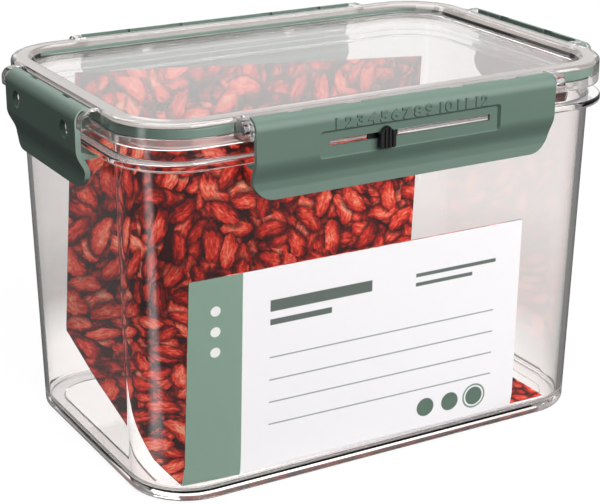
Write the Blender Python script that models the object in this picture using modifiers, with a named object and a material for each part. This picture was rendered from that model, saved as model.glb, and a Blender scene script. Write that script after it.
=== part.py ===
"""A clip-lid food container: clear tub and lid, seal, four hinged clips, date slider, insert card.

The tub stands on z = 0 with its middle on the Z axis. Its long front side faces -Y and carries
the clip with the date slider. All sizes are in metres.
"""

import math

import bmesh
import bpy
from mathutils import Matrix, Vector

# Outline that tub and lid share: a rounded rectangle, larger towards the top
BASE_HALF_LENGTH = 0.0905
BASE_HALF_WIDTH = 0.0586
BASE_CORNER_RADIUS = 0.0222
CORNER_GROWTH_SHARE = 0.3
CORNER_STEPS = 8
EDGE_STEPS = 2
FILLET_STEPS = 4

# Clearances between pieces, and overruns of tools through what they cut or join
PIECE_GAP = 0.0003
TOOL_OVERRUN = 0.001
JOIN_BITE = 0.0003
MERGE_DISTANCE = 0.000002

# Tub
WALL_HEIGHT = 0.1192
WALL_DRAFT = 0.0023
WALL = 0.0022
FLOOR_HEIGHT = 0.0030
FLOOR_FILLET = 0.0030
BOTTOM_EDGE_RADIUS = 0.0020
FOOT_WIDTH = 0.0064
FOOT_DEPTH = 0.0008
FOOT_SLOPE = 0.0006
FLANGE_REACH = 0.0035
FLANGE_THICKNESS = 0.0025
FLANGE_EDGE_RADIUS = 0.0006
NECK_HEIGHT = 0.0073
NECK_EDGE_RADIUS = 0.0008
FLANGE_TOP = WALL_HEIGHT + FLANGE_THICKNESS
NECK_TOP = FLANGE_TOP + NECK_HEIGHT

# Seal, a green ring between the neck's top and the groove under the lid's rim
SEAL_HEIGHT = 0.0034
SEAL_CHAMFER = 0.0006
SEAL_BOTTOM = NECK_TOP + PIECE_GAP
SEAL_TOP = SEAL_BOTTOM + SEAL_HEIGHT

# Lid
SKIRT = 0.0020
SKIRT_GAP = 0.0008
SKIRT_DROP = 0.0068
SKIRT_EDGE_RADIUS = 0.0004
LID_GROWTH = WALL_DRAFT + SKIRT_GAP + SKIRT
RIM_THICKNESS = 0.0020
RIM_EDGE_RADIUS = 0.0018
PANEL_INSET = 0.0062
PANEL_STEP_WIDTH = 0.0024
PANEL_STEP = 0.0032
PANEL_THICKNESS = 0.0022
PLUG_GAP = 0.0020
PLUG_WALL = 0.0018
PLUG_DROP = 0.0075
GROOVE_CEILING = SEAL_TOP + PIECE_GAP
RIM_TOP = GROOVE_CEILING + RIM_THICKNESS
SKIRT_BOTTOM = GROOVE_CEILING - SKIRT_DROP
PANEL_TOP = RIM_TOP - PANEL_STEP
PLUG_OUTSIDE = SKIRT + SKIRT_GAP + WALL + PLUG_GAP
PLUG_INSIDE = PLUG_OUTSIDE + PLUG_WALL
PLUG_BOTTOM = GROOVE_CEILING - PLUG_DROP

# Hinge bars along the lid's four sides; a reach is measured out from the skirt's face
BAR_RADIUS = 0.0016
BAR_STEPS = 20
HINGE_REACH = 0.0034
HINGE_DROP = 0.0039
HINGE_HEIGHT = RIM_TOP - HINGE_DROP
BRACKET_THICKNESS = 0.0038
BRACKET_DROP = 0.0027
BRACKET_TOP_STEP = 0.0001
BRACKET_SHORTFALL = 0.0002
BRACKET_CORNER_RADIUS = 0.0036
BRACKET_FOOT_RADIUS = 0.0010
WEB_THICKNESS = 0.0020
WEB_BOTTOM_DROP = 0.0025
WEB_TOP_DROP = 0.0012
WEB_CREST_DROP = 0.0009
WEB_CREST_REACH = 0.0020

# Clips
LONG_CLIP_HALF = 0.0584
SHORT_CLIP_HALF = 0.0310
CLIP_WALL = 0.0019
CLIP_TOP_GAP = 0.0006
CLIP_LIP = 0.0010
CLIP_CORNER_RADIUS = 0.0035
CLIP_END_GAP = 0.0005
CLIP_FOOT_RADIUS = 0.0080
CLIP_TUCK = 0.0030
CLIP_FLARE = 0.0006
BEND_STEPS = 6
BEND_TOP_RISE = 0.0033
BEND_BOTTOM_DROP = 0.0051
FLARE_DROP = 0.0073
CLIP_DROP = 0.0107
CLIP_REACH = HINGE_REACH + BAR_RADIUS + PIECE_GAP + CLIP_WALL
CLIP_INSIDE = CLIP_REACH - CLIP_WALL
CLIP_TOP = HINGE_HEIGHT + BAR_RADIUS + CLIP_TOP_GAP + CLIP_WALL
LIP_REACH = HINGE_REACH - CLIP_LIP
SWING_RADIUS = math.hypot(CLIP_LIP, CLIP_TOP - HINGE_HEIGHT)
SKIRT_RECESS = SWING_RADIUS + PIECE_GAP - HINGE_REACH

# Latching rib inside each clip, hooked under the tub's flange
HOOK_CATCH = 0.0016
HOOK_FLAT = 0.0022
HOOK_THICKNESS = 0.0010
HOOK_RISE = 0.0017
HOOK_TIP = 0.0004
HOOK_TOP = WALL_HEIGHT - PIECE_GAP
HOOK_BOTTOM = HOOK_TOP - HOOK_THICKNESS
HOOK_REACH = WALL_DRAFT + FLANGE_REACH - LID_GROWTH - HOOK_CATCH
CLIP_BOTTOM = HOOK_BOTTOM - CLIP_DROP

# Claws that snap over the hinge bar, notches that clear the webs, and round core holes
CLAW_LENGTH = 0.0050
CLAW_WALL = 0.0012
CLAW_SWEEP = 140
NOTCH_WIDTH = 0.0055
NOTCH_DEPTH = 0.0010
HOLE_RADIUS = 0.0032
HOLE_STEPS = 24
HOLE_DROP = 0.0047
# Places along a side, as shares of that side's clip half
LONG_CLAW_SHARES = (-0.538, -0.154, 0.154, 0.538)
SHORT_CLAW_SHARES = (-0.839, -0.290, 0.290, 0.839)
LONG_WEB_SHARES = (-0.719, -0.342, 0.342, 0.719)
SHORT_WEB_SHARES = (-0.452, 0.452)
BACK_HOLE_SHARES = (-0.538, 0.538)
SHORT_HOLE_SHARES = (-0.684, 0.684)

# Date slider in the front clip; heights are measured up from the latching rib's underside
WINDOW_HALF = 0.0346
WINDOW_BOTTOM_RISE = 0.0013
WINDOW_HEIGHT = 0.0082
WINDOW_CORNER_RADIUS = 0.0008
WINDOW_DEPTH = 0.0006
SLOT_HALF = 0.0314
SLOT_BOTTOM_RISE = 0.00485
SLOT_HEIGHT = 0.0021
SLIDER_REST = -0.0104
KNOB_WIDTH = 0.0058
KNOB_GAP = 0.0004
KNOB_THICKNESS = 0.0017
KNOB_ROOF = 0.0022
KNOB_CHAMFER = 0.0006
KNOB_GROOVES = 3
KNOB_GROOVE_WIDTH = 0.0006
KNOB_GROOVE_DEPTH = 0.0005
SLIDER_NECK_WIDTH = 0.0035
RETAINER_LENGTH = 0.0117
RETAINER_HEIGHT = 0.0040
RETAINER_THICKNESS = 0.0010

# Insert card, folded across. A row's ends lie near the tub's corners: across and depth are
# shares of the corner radius, along is a share of the way from front corners to back corners
CARD_THICKNESS = 0.0005
CARD_CORNER_RADIUS = BASE_CORNER_RADIUS - WALL
CARD_FLOOR = FLOOR_HEIGHT + PIECE_GAP + CARD_THICKNESS / 2
CARD_RISE = WALL_HEIGHT - CARD_FLOOR
# Along, then across, depth and rise of the left end, then those of the right end
CARD_ROW_SHARES = (
    (0.000, 0.385, -0.980, 0.660, -0.565, -1.000, 0.655),
    (0.000, 0.460, -0.750, 0.014, -0.610, -0.945, 0.014),
    (0.000, 0.430, -0.690, 0.000, 0.330, -0.860, 0.000),
    (0.143, 0.430, 0.000, 0.000, 0.320, 0.000, 0.000),
    (0.459, 0.435, 0.000, 0.059, 0.400, 0.000, 0.052),
    (0.761, 0.435, 0.000, 0.112, 0.480, 0.000, 0.100),
    (1.000, 0.370, 0.680, 0.187, 0.575, 0.680, 0.160),
    (1.000, 0.030, 0.680, 1.038, 0.780, 0.680, 0.937),
)

# Each side: quarter turns from the front about Z, and whether it is a long side
SIDES = {"front": (0, True), "right": (1, False), "back": (2, True), "left": (3, False)}

# Curve axes to piece axes: a side profile lies across the side, a face outline lies along it
PROFILE_AXES = Matrix(((0, 0, -1), (-1, 0, 0), (0, 1, 0))).to_4x4()
FACE_AXES = Matrix(((1, 0, 0), (0, 0, -1), (0, 1, 0))).to_4x4()


def clear_scene():
    """Remove every object of the open scene."""
    for item in list(bpy.data.objects):
        bpy.data.objects.remove(item, do_unlink=True)


def make_collection(name):
    """Add a collection to the scene."""
    collection = bpy.data.collections.new(name)
    bpy.context.scene.collection.children.link(collection)
    return collection


def make_material(name, colour, roughness, transmission=0.0):
    """Make a Principled material."""
    material = bpy.data.materials.new(name)
    material.use_nodes = True
    shader = material.node_tree.nodes["Principled BSDF"]
    shader.inputs["Base Color"].default_value = (*colour, 1.0)
    shader.inputs["Roughness"].default_value = roughness
    shader.inputs["Metallic"].default_value = 0.0
    shader.inputs["Transmission Weight"].default_value = transmission
    material.diffuse_color = (*colour, 1.0)
    return material


def add_object(name, mesh, collection, place=None, material=None):
    """Link a mesh as a named object, shaded smooth across its shallow edges."""
    mesh.shade_smooth()
    mesh.set_sharp_from_angle(angle=math.radians(35))
    item = bpy.data.objects.new(name, mesh)
    collection.objects.link(item)
    if place is not None:
        item.matrix_world = place
    if material is not None:
        mesh.materials.append(material)
    return item


def add_tool(target, name, mesh, operation, tools, place=None):
    """Cut, join or trim a piece with another shape by a Boolean modifier."""
    tool = add_object(name, mesh, tools, place)
    tool.hide_render = True
    tool.display_type = "WIRE"
    modifier = target.modifiers.new(name, "BOOLEAN")
    modifier.operation = operation
    modifier.solver = "EXACT"
    modifier.object = tool


def arc(centre, radius, start, end, steps):
    """Points of a circular arc in a plane, angles in degrees from the first axis."""
    points = []
    for step in range(steps + 1):
        angle = math.radians(start + (end - start) * step / steps)
        points.append((centre[0] + radius * math.cos(angle), centre[1] + radius * math.sin(angle)))
    return points


def rounded_outline(growth, out, height):
    """Points round one moulded outline: grown from the base, then moved out evenly."""
    half_length = BASE_HALF_LENGTH + growth + out
    half_width = BASE_HALF_WIDTH + growth + out
    radius = BASE_CORNER_RADIUS + CORNER_GROWTH_SHARE * growth + out
    points = []
    for quarter, (side_x, side_y) in enumerate(((1, 1), (-1, 1), (-1, -1), (1, -1))):
        centre = (side_x * (half_length - radius), side_y * (half_width - radius))
        start = quarter * 90
        for x, y in arc(centre, radius, start, start + 90, CORNER_STEPS):
            points.append((x, y, height))
    return points


def face_outward(builder):
    """Make a closed surface's faces agree, and point them out of what it encloses."""
    bmesh.ops.recalc_face_normals(builder, faces=builder.faces)
    if builder.calc_volume(signed=True) < 0:
        bmesh.ops.reverse_faces(builder, faces=builder.faces)


def loft(name, rows, closed=False):
    """Skin a run of moulded outlines, with flat caps unless the run closes on itself."""
    builder = bmesh.new()
    loops = []
    for growth, out, height in rows:
        loops.append([builder.verts.new(point) for point in rounded_outline(growth, out, height)])
    pairs = list(zip(loops, loops[1:]))
    if closed:
        pairs.append((loops[-1], loops[0]))
    else:
        builder.faces.new(loops[0])
        builder.faces.new(loops[-1])
    for lower, upper in pairs:
        for index in range(len(lower)):
            after = (index + 1) % len(lower)
            builder.faces.new((lower[index], lower[after], upper[after], upper[index]))
    face_outward(builder)
    mesh = bpy.data.meshes.new(name)
    builder.to_mesh(mesh)
    builder.free()
    return mesh


def flat_solid(name, points, thickness, axes, shift=(0, 0, 0)):
    """Make a closed slab from a filled outline, turned into the piece's axes."""
    curve = bpy.data.curves.new(name, "CURVE")
    curve.dimensions = "2D"
    curve.fill_mode = "BOTH"
    curve.extrude = thickness / 2
    spline = curve.splines.new("POLY")
    spline.points.add(len(points) - 1)
    spline.use_cyclic_u = True
    for place, (across, up) in zip(spline.points, points):
        place.co = (across, up, 0, 1)
    guide = bpy.data.objects.new(name, curve)
    bpy.context.scene.collection.objects.link(guide)
    graph = bpy.context.evaluated_depsgraph_get()
    mesh = bpy.data.meshes.new_from_object(guide.evaluated_get(graph))
    bpy.data.objects.remove(guide, do_unlink=True)
    builder = bmesh.new()
    builder.from_mesh(mesh)
    bmesh.ops.remove_doubles(builder, verts=builder.verts, dist=MERGE_DISTANCE)
    bmesh.ops.transform(builder, matrix=Matrix.Translation(shift) @ axes, verts=builder.verts)
    face_outward(builder)
    builder.to_mesh(mesh)
    builder.free()
    mesh.name = name
    return mesh


def box(name, low, high):
    """Make a box between two corners."""
    builder = bmesh.new()
    bmesh.ops.create_cube(builder, size=1)
    size = Vector(high) - Vector(low)
    middle = (Vector(high) + Vector(low)) / 2
    scale = Matrix.Diagonal(size).to_4x4()
    bmesh.ops.transform(builder, matrix=Matrix.Translation(middle) @ scale, verts=builder.verts)
    mesh = bpy.data.meshes.new(name)
    builder.to_mesh(mesh)
    builder.free()
    return mesh


def rod(name, radius, length, steps, direction, middle=(0, 0, 0)):
    """Make a cylinder along a direction, centred on a point."""
    builder = bmesh.new()
    bmesh.ops.create_cone(
        builder, cap_ends=True, segments=steps, radius1=radius, radius2=radius, depth=length
    )
    turn = Vector((0, 0, 1)).rotation_difference(Vector(direction)).to_matrix().to_4x4()
    bmesh.ops.transform(builder, matrix=Matrix.Translation(middle) @ turn, verts=builder.verts)
    mesh = bpy.data.meshes.new(name)
    builder.to_mesh(mesh)
    builder.free()
    return mesh


def hinge_frame(side):
    """Frame of a side's hinge: X along the bar, -Y outwards, origin mid-bar on its axis."""
    quarter, is_long = SIDES[side]
    half = BASE_HALF_WIDTH if is_long else BASE_HALF_LENGTH
    reach = half + LID_GROWTH + HINGE_REACH
    turn = Matrix.Rotation(math.radians(90 * quarter), 4, "Z")
    return turn @ Matrix.Translation((0, -reach, HINGE_HEIGHT))


def from_hinge(points):
    """Move profile points from reach and height to the hinge's own frame."""
    return [(reach - HINGE_REACH, height - HINGE_HEIGHT) for reach, height in points]


def wall_growth(height):
    """How far the drafted wall has grown at a height."""
    return WALL_DRAFT * height / WALL_HEIGHT


def make_tub(parts):
    """Tub with a foot ring, drafted walls, a flange for the clips and a neck for the lid."""
    foot_inner = -(BOTTOM_EDGE_RADIUS + FOOT_WIDTH)
    rows = [(0, foot_inner - FOOT_SLOPE, FOOT_DEPTH), (0, foot_inner, 0)]
    edge = (-BOTTOM_EDGE_RADIUS, BOTTOM_EDGE_RADIUS)
    for out, height in arc(edge, BOTTOM_EDGE_RADIUS, -90, 0, FILLET_STEPS):
        rows.append((wall_growth(height), out, height))
    rows.append((WALL_DRAFT, 0, WALL_HEIGHT))
    flange_growth = WALL_DRAFT + FLANGE_REACH
    lower_edge = (-FLANGE_EDGE_RADIUS, WALL_HEIGHT + FLANGE_EDGE_RADIUS)
    upper_edge = (-FLANGE_EDGE_RADIUS, FLANGE_TOP - FLANGE_EDGE_RADIUS)
    flange = arc(lower_edge, FLANGE_EDGE_RADIUS, -90, 0, EDGE_STEPS)
    flange += arc(upper_edge, FLANGE_EDGE_RADIUS, 0, 90, EDGE_STEPS)
    for out, height in flange:
        rows.append((flange_growth, out, height))
    rows.append((WALL_DRAFT, 0, FLANGE_TOP))
    outer_edge = (-NECK_EDGE_RADIUS, NECK_TOP - NECK_EDGE_RADIUS)
    inner_edge = (NECK_EDGE_RADIUS - WALL, NECK_TOP - NECK_EDGE_RADIUS)
    neck = arc(outer_edge, NECK_EDGE_RADIUS, 0, 90, EDGE_STEPS)
    neck += arc(inner_edge, NECK_EDGE_RADIUS, 90, 180, EDGE_STEPS)
    for out, height in neck:
        rows.append((WALL_DRAFT, out, height))
    rows.append((WALL_DRAFT, -WALL, WALL_HEIGHT))
    fillet = (-WALL - FLOOR_FILLET, FLOOR_HEIGHT + FLOOR_FILLET)
    for out, height in arc(fillet, FLOOR_FILLET, 0, -90, FILLET_STEPS):
        rows.append((wall_growth(height), out, height))
    clear = make_material("clear_tub", (0.86, 0.84, 0.83), 0.08, 1.0)
    return add_object("box_body", loft("box_body", rows), parts, material=clear)


def make_seal(parts):
    """Seal ring with small chamfers, filling the groove under the lid's rim."""
    outer = -(SKIRT + PIECE_GAP)
    inner = -(PLUG_OUTSIDE - PIECE_GAP)
    section = (
        (outer, SEAL_BOTTOM + SEAL_CHAMFER),
        (outer, SEAL_TOP - SEAL_CHAMFER),
        (outer - SEAL_CHAMFER, SEAL_TOP),
        (inner + SEAL_CHAMFER, SEAL_TOP),
        (inner, SEAL_TOP - SEAL_CHAMFER),
        (inner, SEAL_BOTTOM + SEAL_CHAMFER),
        (inner + SEAL_CHAMFER, SEAL_BOTTOM),
        (outer - SEAL_CHAMFER, SEAL_BOTTOM),
    )
    rows = [(LID_GROWTH, out, height) for out, height in section]
    rubber = make_material("seal_rubber", (0.20, 0.42, 0.30), 0.5)
    return add_object("seal_ring", loft("seal_ring", rows, closed=True), parts, material=rubber)


def lid_shell():
    """Lid without its hinge parts: sunk panel, rim, skirt, seal groove and plug wall."""
    section = [(-PANEL_INSET - PANEL_STEP_WIDTH, PANEL_TOP), (-PANEL_INSET, RIM_TOP)]
    rim_edge = (-RIM_EDGE_RADIUS, RIM_TOP - RIM_EDGE_RADIUS)
    section += arc(rim_edge, RIM_EDGE_RADIUS, 90, 0, FILLET_STEPS)
    skirt_edge = SKIRT_BOTTOM + SKIRT_EDGE_RADIUS
    outer_edge = (-SKIRT_EDGE_RADIUS, skirt_edge)
    inner_edge = (SKIRT_EDGE_RADIUS - SKIRT, skirt_edge)
    section += arc(outer_edge, SKIRT_EDGE_RADIUS, 0, -90, EDGE_STEPS)
    section += arc(inner_edge, SKIRT_EDGE_RADIUS, -90, -180, EDGE_STEPS)
    section += [(-SKIRT, GROOVE_CEILING), (-PLUG_OUTSIDE, GROOVE_CEILING)]
    plug_edge = PLUG_BOTTOM + SKIRT_EDGE_RADIUS
    outer_edge = (-PLUG_OUTSIDE - SKIRT_EDGE_RADIUS, plug_edge)
    inner_edge = (-PLUG_INSIDE + SKIRT_EDGE_RADIUS, plug_edge)
    section += arc(outer_edge, SKIRT_EDGE_RADIUS, 0, -90, EDGE_STEPS)
    section += arc(inner_edge, SKIRT_EDGE_RADIUS, -90, -180, EDGE_STEPS)
    section.append((-PLUG_INSIDE, PANEL_TOP - PANEL_THICKNESS))
    return loft("lid", [(LID_GROWTH, out, height) for out, height in section])


def bracket_profile():
    """Side view of an end bracket that carries a hinge bar."""
    root = -SKIRT_RECESS - JOIN_BITE
    tip = CLIP_REACH - BRACKET_SHORTFALL
    top = RIM_TOP - BRACKET_TOP_STEP
    bottom = HINGE_HEIGHT - BRACKET_DROP
    foot = (tip - BRACKET_FOOT_RADIUS, bottom + BRACKET_FOOT_RADIUS)
    corner = (tip - BRACKET_CORNER_RADIUS, top - BRACKET_CORNER_RADIUS)
    points = [(root, bottom)]
    points += arc(foot, BRACKET_FOOT_RADIUS, -90, 0, EDGE_STEPS)
    points += arc(corner, BRACKET_CORNER_RADIUS, 0, 90, FILLET_STEPS)
    points.append((root, top))
    return from_hinge(points)


def web_profile():
    """Side view of a low web from the skirt to the underside of the hinge bar."""
    root = -SKIRT_RECESS - JOIN_BITE
    bottom = HINGE_HEIGHT - WEB_BOTTOM_DROP
    points = (
        (root, bottom),
        (HINGE_REACH, bottom),
        (HINGE_REACH, HINGE_HEIGHT - WEB_CREST_DROP),
        (WEB_CREST_REACH, HINGE_HEIGHT - WEB_CREST_DROP),
        (root, HINGE_HEIGHT - WEB_TOP_DROP),
    )
    return from_hinge(points)


def add_hinge(lid, side, tools):
    """Cut a side's swing recess into the lid, and join its bar, brackets and webs."""
    frame = hinge_frame(side)
    is_long = SIDES[side][1]
    clip_half = LONG_CLIP_HALF if is_long else SHORT_CLIP_HALF
    bracket_inside = clip_half + CLIP_END_GAP
    recess_half = bracket_inside + JOIN_BITE
    recess_face = HINGE_REACH + SKIRT_RECESS
    low = (-recess_half, -HINGE_REACH, JOIN_BITE - BRACKET_DROP)
    high = (recess_half, recess_face, HINGE_DROP + TOOL_OVERRUN)
    add_tool(lid, side + "_recess", box(side + "_recess", low, high), "DIFFERENCE", tools, frame)
    for end in (-1, 1):
        name = side + ("_bracket_left" if end < 0 else "_bracket_right")
        middle = end * (bracket_inside + BRACKET_THICKNESS / 2)
        mesh = flat_solid(name, bracket_profile(), BRACKET_THICKNESS, PROFILE_AXES, (middle, 0, 0))
        add_tool(lid, name, mesh, "UNION", tools, frame)
    length = 2 * bracket_inside + BRACKET_THICKNESS
    bar = rod(side + "_bar", BAR_RADIUS, length, BAR_STEPS, (1, 0, 0))
    add_tool(lid, side + "_bar", bar, "UNION", tools, frame)
    for number, share in enumerate(LONG_WEB_SHARES if is_long else SHORT_WEB_SHARES, 1):
        name = f"{side}_web_{number}"
        mesh = flat_solid(name, web_profile(), WEB_THICKNESS, PROFILE_AXES, (share * clip_half, 0, 0))
        add_tool(lid, name, mesh, "UNION", tools, frame)


def make_lid(parts, tools):
    """Lid with a hinge along each of its four sides."""
    clear = make_material("clear_lid", (0.88, 0.86, 0.85), 0.06, 1.0)
    lid = add_object("lid", lid_shell(), parts, material=clear)
    for side in SIDES:
        add_hinge(lid, side, tools)
    return lid


def bend(reach_top, height):
    """Reach of the S-shaped bend that tucks the clip's lower end in."""
    top = HOOK_BOTTOM + BEND_TOP_RISE
    bottom = HOOK_BOTTOM - BEND_BOTTOM_DROP
    share = (height - bottom) / (top - bottom)
    return reach_top - CLIP_TUCK * (1 - share * share * (3 - 2 * share))


def clip_profile():
    """Side view of a clip: top wall over the bar, plate, latching rib, bend and flared end."""
    bend_top = HOOK_BOTTOM + BEND_TOP_RISE
    bend_bottom = HOOK_BOTTOM - BEND_BOTTOM_DROP
    heights = [bend_bottom + (bend_top - bend_bottom) * step / BEND_STEPS for step in range(BEND_STEPS + 1)]
    flare_height = HOOK_BOTTOM - FLARE_DROP
    end_height = CLIP_BOTTOM - TOOL_OVERRUN
    tuck_outside = CLIP_REACH - CLIP_TUCK
    tuck_inside = CLIP_INSIDE - CLIP_TUCK
    corner = (CLIP_REACH - CLIP_CORNER_RADIUS, CLIP_TOP - CLIP_CORNER_RADIUS)
    points = [(tuck_outside + CLIP_FLARE, end_height), (tuck_outside, flare_height)]
    points += [(bend(CLIP_REACH, height), height) for height in heights]
    points += arc(corner, CLIP_CORNER_RADIUS, 0, 90, FILLET_STEPS)
    points += [(LIP_REACH, CLIP_TOP), (LIP_REACH, CLIP_TOP - CLIP_WALL)]
    points += arc(corner, CLIP_CORNER_RADIUS - CLIP_WALL, 90, 0, FILLET_STEPS)
    points.append((CLIP_INSIDE, HOOK_TOP + HOOK_RISE))
    points.append((HOOK_REACH + HOOK_FLAT, HOOK_TOP))
    points.append((HOOK_REACH + HOOK_TIP, HOOK_TOP))
    points.append((HOOK_REACH, HOOK_TOP - HOOK_TIP))
    points.append((HOOK_REACH + HOOK_TIP, HOOK_BOTTOM))
    points.append((bend(CLIP_INSIDE, HOOK_BOTTOM), HOOK_BOTTOM))
    lower = [height for height in reversed(heights) if height < HOOK_BOTTOM - MERGE_DISTANCE]
    points += [(bend(CLIP_INSIDE, height), height) for height in lower]
    points += [(tuck_inside, flare_height), (tuck_inside + CLIP_FLARE, end_height)]
    return from_hinge(points)


def clip_face(half):
    """Front view of a clip, with its two lower corners rounded."""
    bottom = CLIP_BOTTOM - HINGE_HEIGHT
    top = CLIP_TOP - HINGE_HEIGHT + TOOL_OVERRUN
    radius = CLIP_FOOT_RADIUS
    points = [(half, top), (-half, top)]
    points += arc((radius - half, bottom + radius), radius, 180, 270, FILLET_STEPS)
    points += arc((half - radius, bottom + radius), radius, 270, 360, FILLET_STEPS)
    return points


def claw_profile():
    """Side view of a claw: from the plate's inside, round under the hinge bar."""
    inside = BAR_RADIUS + PIECE_GAP
    outside = inside + CLAW_WALL
    meeting = math.degrees(math.acos(inside / outside))
    points = arc((0, 0), inside, 0, -CLAW_SWEEP, FILLET_STEPS * 2)
    points += arc((0, 0), outside, -CLAW_SWEEP, -meeting, FILLET_STEPS * 2)
    drop = outside * math.sin(math.radians(meeting))
    points += [(inside + JOIN_BITE, -drop), (inside + JOIN_BITE, 0)]
    return points


def make_clip(side, hole_shares, parts, tools):
    """Clip that swings on its side's bar, with its origin mid-bar on the bar's axis."""
    frame = hinge_frame(side)
    is_long = SIDES[side][1]
    half = LONG_CLIP_HALF if is_long else SHORT_CLIP_HALF
    name = side + "_clip"
    green = make_material(name + "_green", (0.13, 0.23, 0.18), 0.3)
    length = 2 * (half + TOOL_OVERRUN)
    mesh = flat_solid(name, clip_profile(), length, PROFILE_AXES)
    clip = add_object(name, mesh, parts, frame, green)
    depth = 2 * (CLIP_REACH + CLIP_TUCK)
    face = flat_solid(name + "_outline", clip_face(half), depth, FACE_AXES)
    add_tool(clip, name + "_outline", face, "INTERSECT", tools, frame)
    for number, share in enumerate(LONG_WEB_SHARES if is_long else SHORT_WEB_SHARES, 1):
        tool_name = f"{name}_notch_{number}"
        place = share * half
        low = (place - NOTCH_WIDTH / 2, CLIP_LIP - NOTCH_DEPTH, BAR_RADIUS)
        high = (place + NOTCH_WIDTH / 2, CLIP_LIP + TOOL_OVERRUN, SWING_RADIUS + TOOL_OVERRUN)
        add_tool(clip, tool_name, box(tool_name, low, high), "DIFFERENCE", tools, frame)
    plate_middle = HINGE_REACH - (CLIP_REACH + CLIP_INSIDE) / 2
    for number, share in enumerate(hole_shares, 1):
        tool_name = f"{name}_hole_{number}"
        middle = (share * half, plate_middle, -HOLE_DROP)
        depth = CLIP_WALL + 2 * TOOL_OVERRUN
        hole = rod(tool_name, HOLE_RADIUS, depth, HOLE_STEPS, (0, 1, 0), middle)
        add_tool(clip, tool_name, hole, "DIFFERENCE", tools, frame)
    if side == "front":
        cut_date_window(clip, tools, frame)
    for number, share in enumerate(LONG_CLAW_SHARES if is_long else SHORT_CLAW_SHARES, 1):
        tool_name = f"{name}_claw_{number}"
        claw = flat_solid(tool_name, claw_profile(), CLAW_LENGTH, PROFILE_AXES, (share * half, 0, 0))
        add_tool(clip, tool_name, claw, "UNION", tools, frame)
    return clip


def rounded_rectangle(half, bottom, top, radius):
    """Outline of a rectangle with rounded corners, centred across."""
    points = arc((half - radius, top - radius), radius, 0, 90, EDGE_STEPS)
    points += arc((radius - half, top - radius), radius, 90, 180, EDGE_STEPS)
    points += arc((radius - half, bottom + radius), radius, 180, 270, EDGE_STEPS)
    points += arc((half - radius, bottom + radius), radius, 270, 360, EDGE_STEPS)
    return points


def cut_date_window(clip, tools, frame):
    """Cut the shallow window and the through slot that the date slider runs in."""
    bottom = HOOK_BOTTOM + WINDOW_BOTTOM_RISE - HINGE_HEIGHT
    outline = rounded_rectangle(WINDOW_HALF, bottom, bottom + WINDOW_HEIGHT, WINDOW_CORNER_RADIUS)
    thickness = WINDOW_DEPTH + TOOL_OVERRUN
    middle = HINGE_REACH - CLIP_REACH + WINDOW_DEPTH - thickness / 2
    window = flat_solid("date_window", outline, thickness, FACE_AXES, (0, middle, 0))
    add_tool(clip, "date_window", window, "DIFFERENCE", tools, frame)
    slot_bottom = HOOK_BOTTOM + SLOT_BOTTOM_RISE - HINGE_HEIGHT
    low = (-SLOT_HALF, HINGE_REACH - CLIP_REACH - TOOL_OVERRUN, slot_bottom)
    high = (SLOT_HALF, HINGE_REACH - CLIP_INSIDE + TOOL_OVERRUN, slot_bottom + SLOT_HEIGHT)
    add_tool(clip, "date_slot", box("date_slot", low, high), "DIFFERENCE", tools, frame)


def make_slider(clip, parts, tools):
    """Date slider: ribbed knob in the window, neck through the slot, retainer bar behind."""
    slot_middle = HOOK_BOTTOM + SLOT_BOTTOM_RISE + SLOT_HEIGHT / 2
    origin = Matrix.Translation((SLIDER_REST, 0, slot_middle - HINGE_HEIGHT))
    frame = hinge_frame("front") @ origin
    knob_bottom = HOOK_BOTTOM + WINDOW_BOTTOM_RISE + KNOB_GAP - slot_middle
    knob_top = knob_bottom + WINDOW_HEIGHT - 2 * KNOB_GAP
    half = KNOB_WIDTH / 2
    outline = (
        (half - KNOB_CHAMFER, knob_bottom),
        (half, knob_bottom + KNOB_CHAMFER),
        (half, knob_top - KNOB_ROOF),
        (0, knob_top),
        (-half, knob_top - KNOB_ROOF),
        (-half, knob_bottom + KNOB_CHAMFER),
        (KNOB_CHAMFER - half, knob_bottom),
    )
    knob_back = HINGE_REACH - CLIP_REACH + WINDOW_DEPTH - PIECE_GAP
    knob_face = knob_back - KNOB_THICKNESS
    shift = (0, (knob_back + knob_face) / 2, 0)
    mesh = flat_solid("date_slider", outline, KNOB_THICKNESS, FACE_AXES, shift)
    black = make_material("slider_black", (0.02, 0.02, 0.02), 0.35)
    slider = add_object("date_slider", mesh, parts, material=black)
    slider.parent = clip
    slider.matrix_world = frame
    pitch = KNOB_WIDTH / (KNOB_GROOVES + 1)
    for number in range(KNOB_GROOVES):
        name = f"knob_groove_{number + 1}"
        middle = pitch * (number + 1) - half
        low = (middle - KNOB_GROOVE_WIDTH / 2, knob_face - TOOL_OVERRUN, knob_bottom - TOOL_OVERRUN)
        high = (middle + KNOB_GROOVE_WIDTH / 2, knob_face + KNOB_GROOVE_DEPTH, knob_top + TOOL_OVERRUN)
        add_tool(slider, name, box(name, low, high), "DIFFERENCE", tools, frame)
    neck_half = SLOT_HEIGHT / 2 - PIECE_GAP
    retainer_face = HINGE_REACH - CLIP_INSIDE + PIECE_GAP
    low = (-SLIDER_NECK_WIDTH / 2, knob_back - JOIN_BITE, -neck_half)
    high = (SLIDER_NECK_WIDTH / 2, retainer_face + JOIN_BITE, neck_half)
    add_tool(slider, "slider_neck", box("slider_neck", low, high), "UNION", tools, frame)
    low = (-RETAINER_LENGTH / 2, retainer_face, -RETAINER_HEIGHT / 2)
    high = (RETAINER_LENGTH / 2, retainer_face + RETAINER_THICKNESS, RETAINER_HEIGHT / 2)
    add_tool(slider, "slider_retainer", box("slider_retainer", low, high), "UNION", tools, frame)
    return slider


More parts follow.
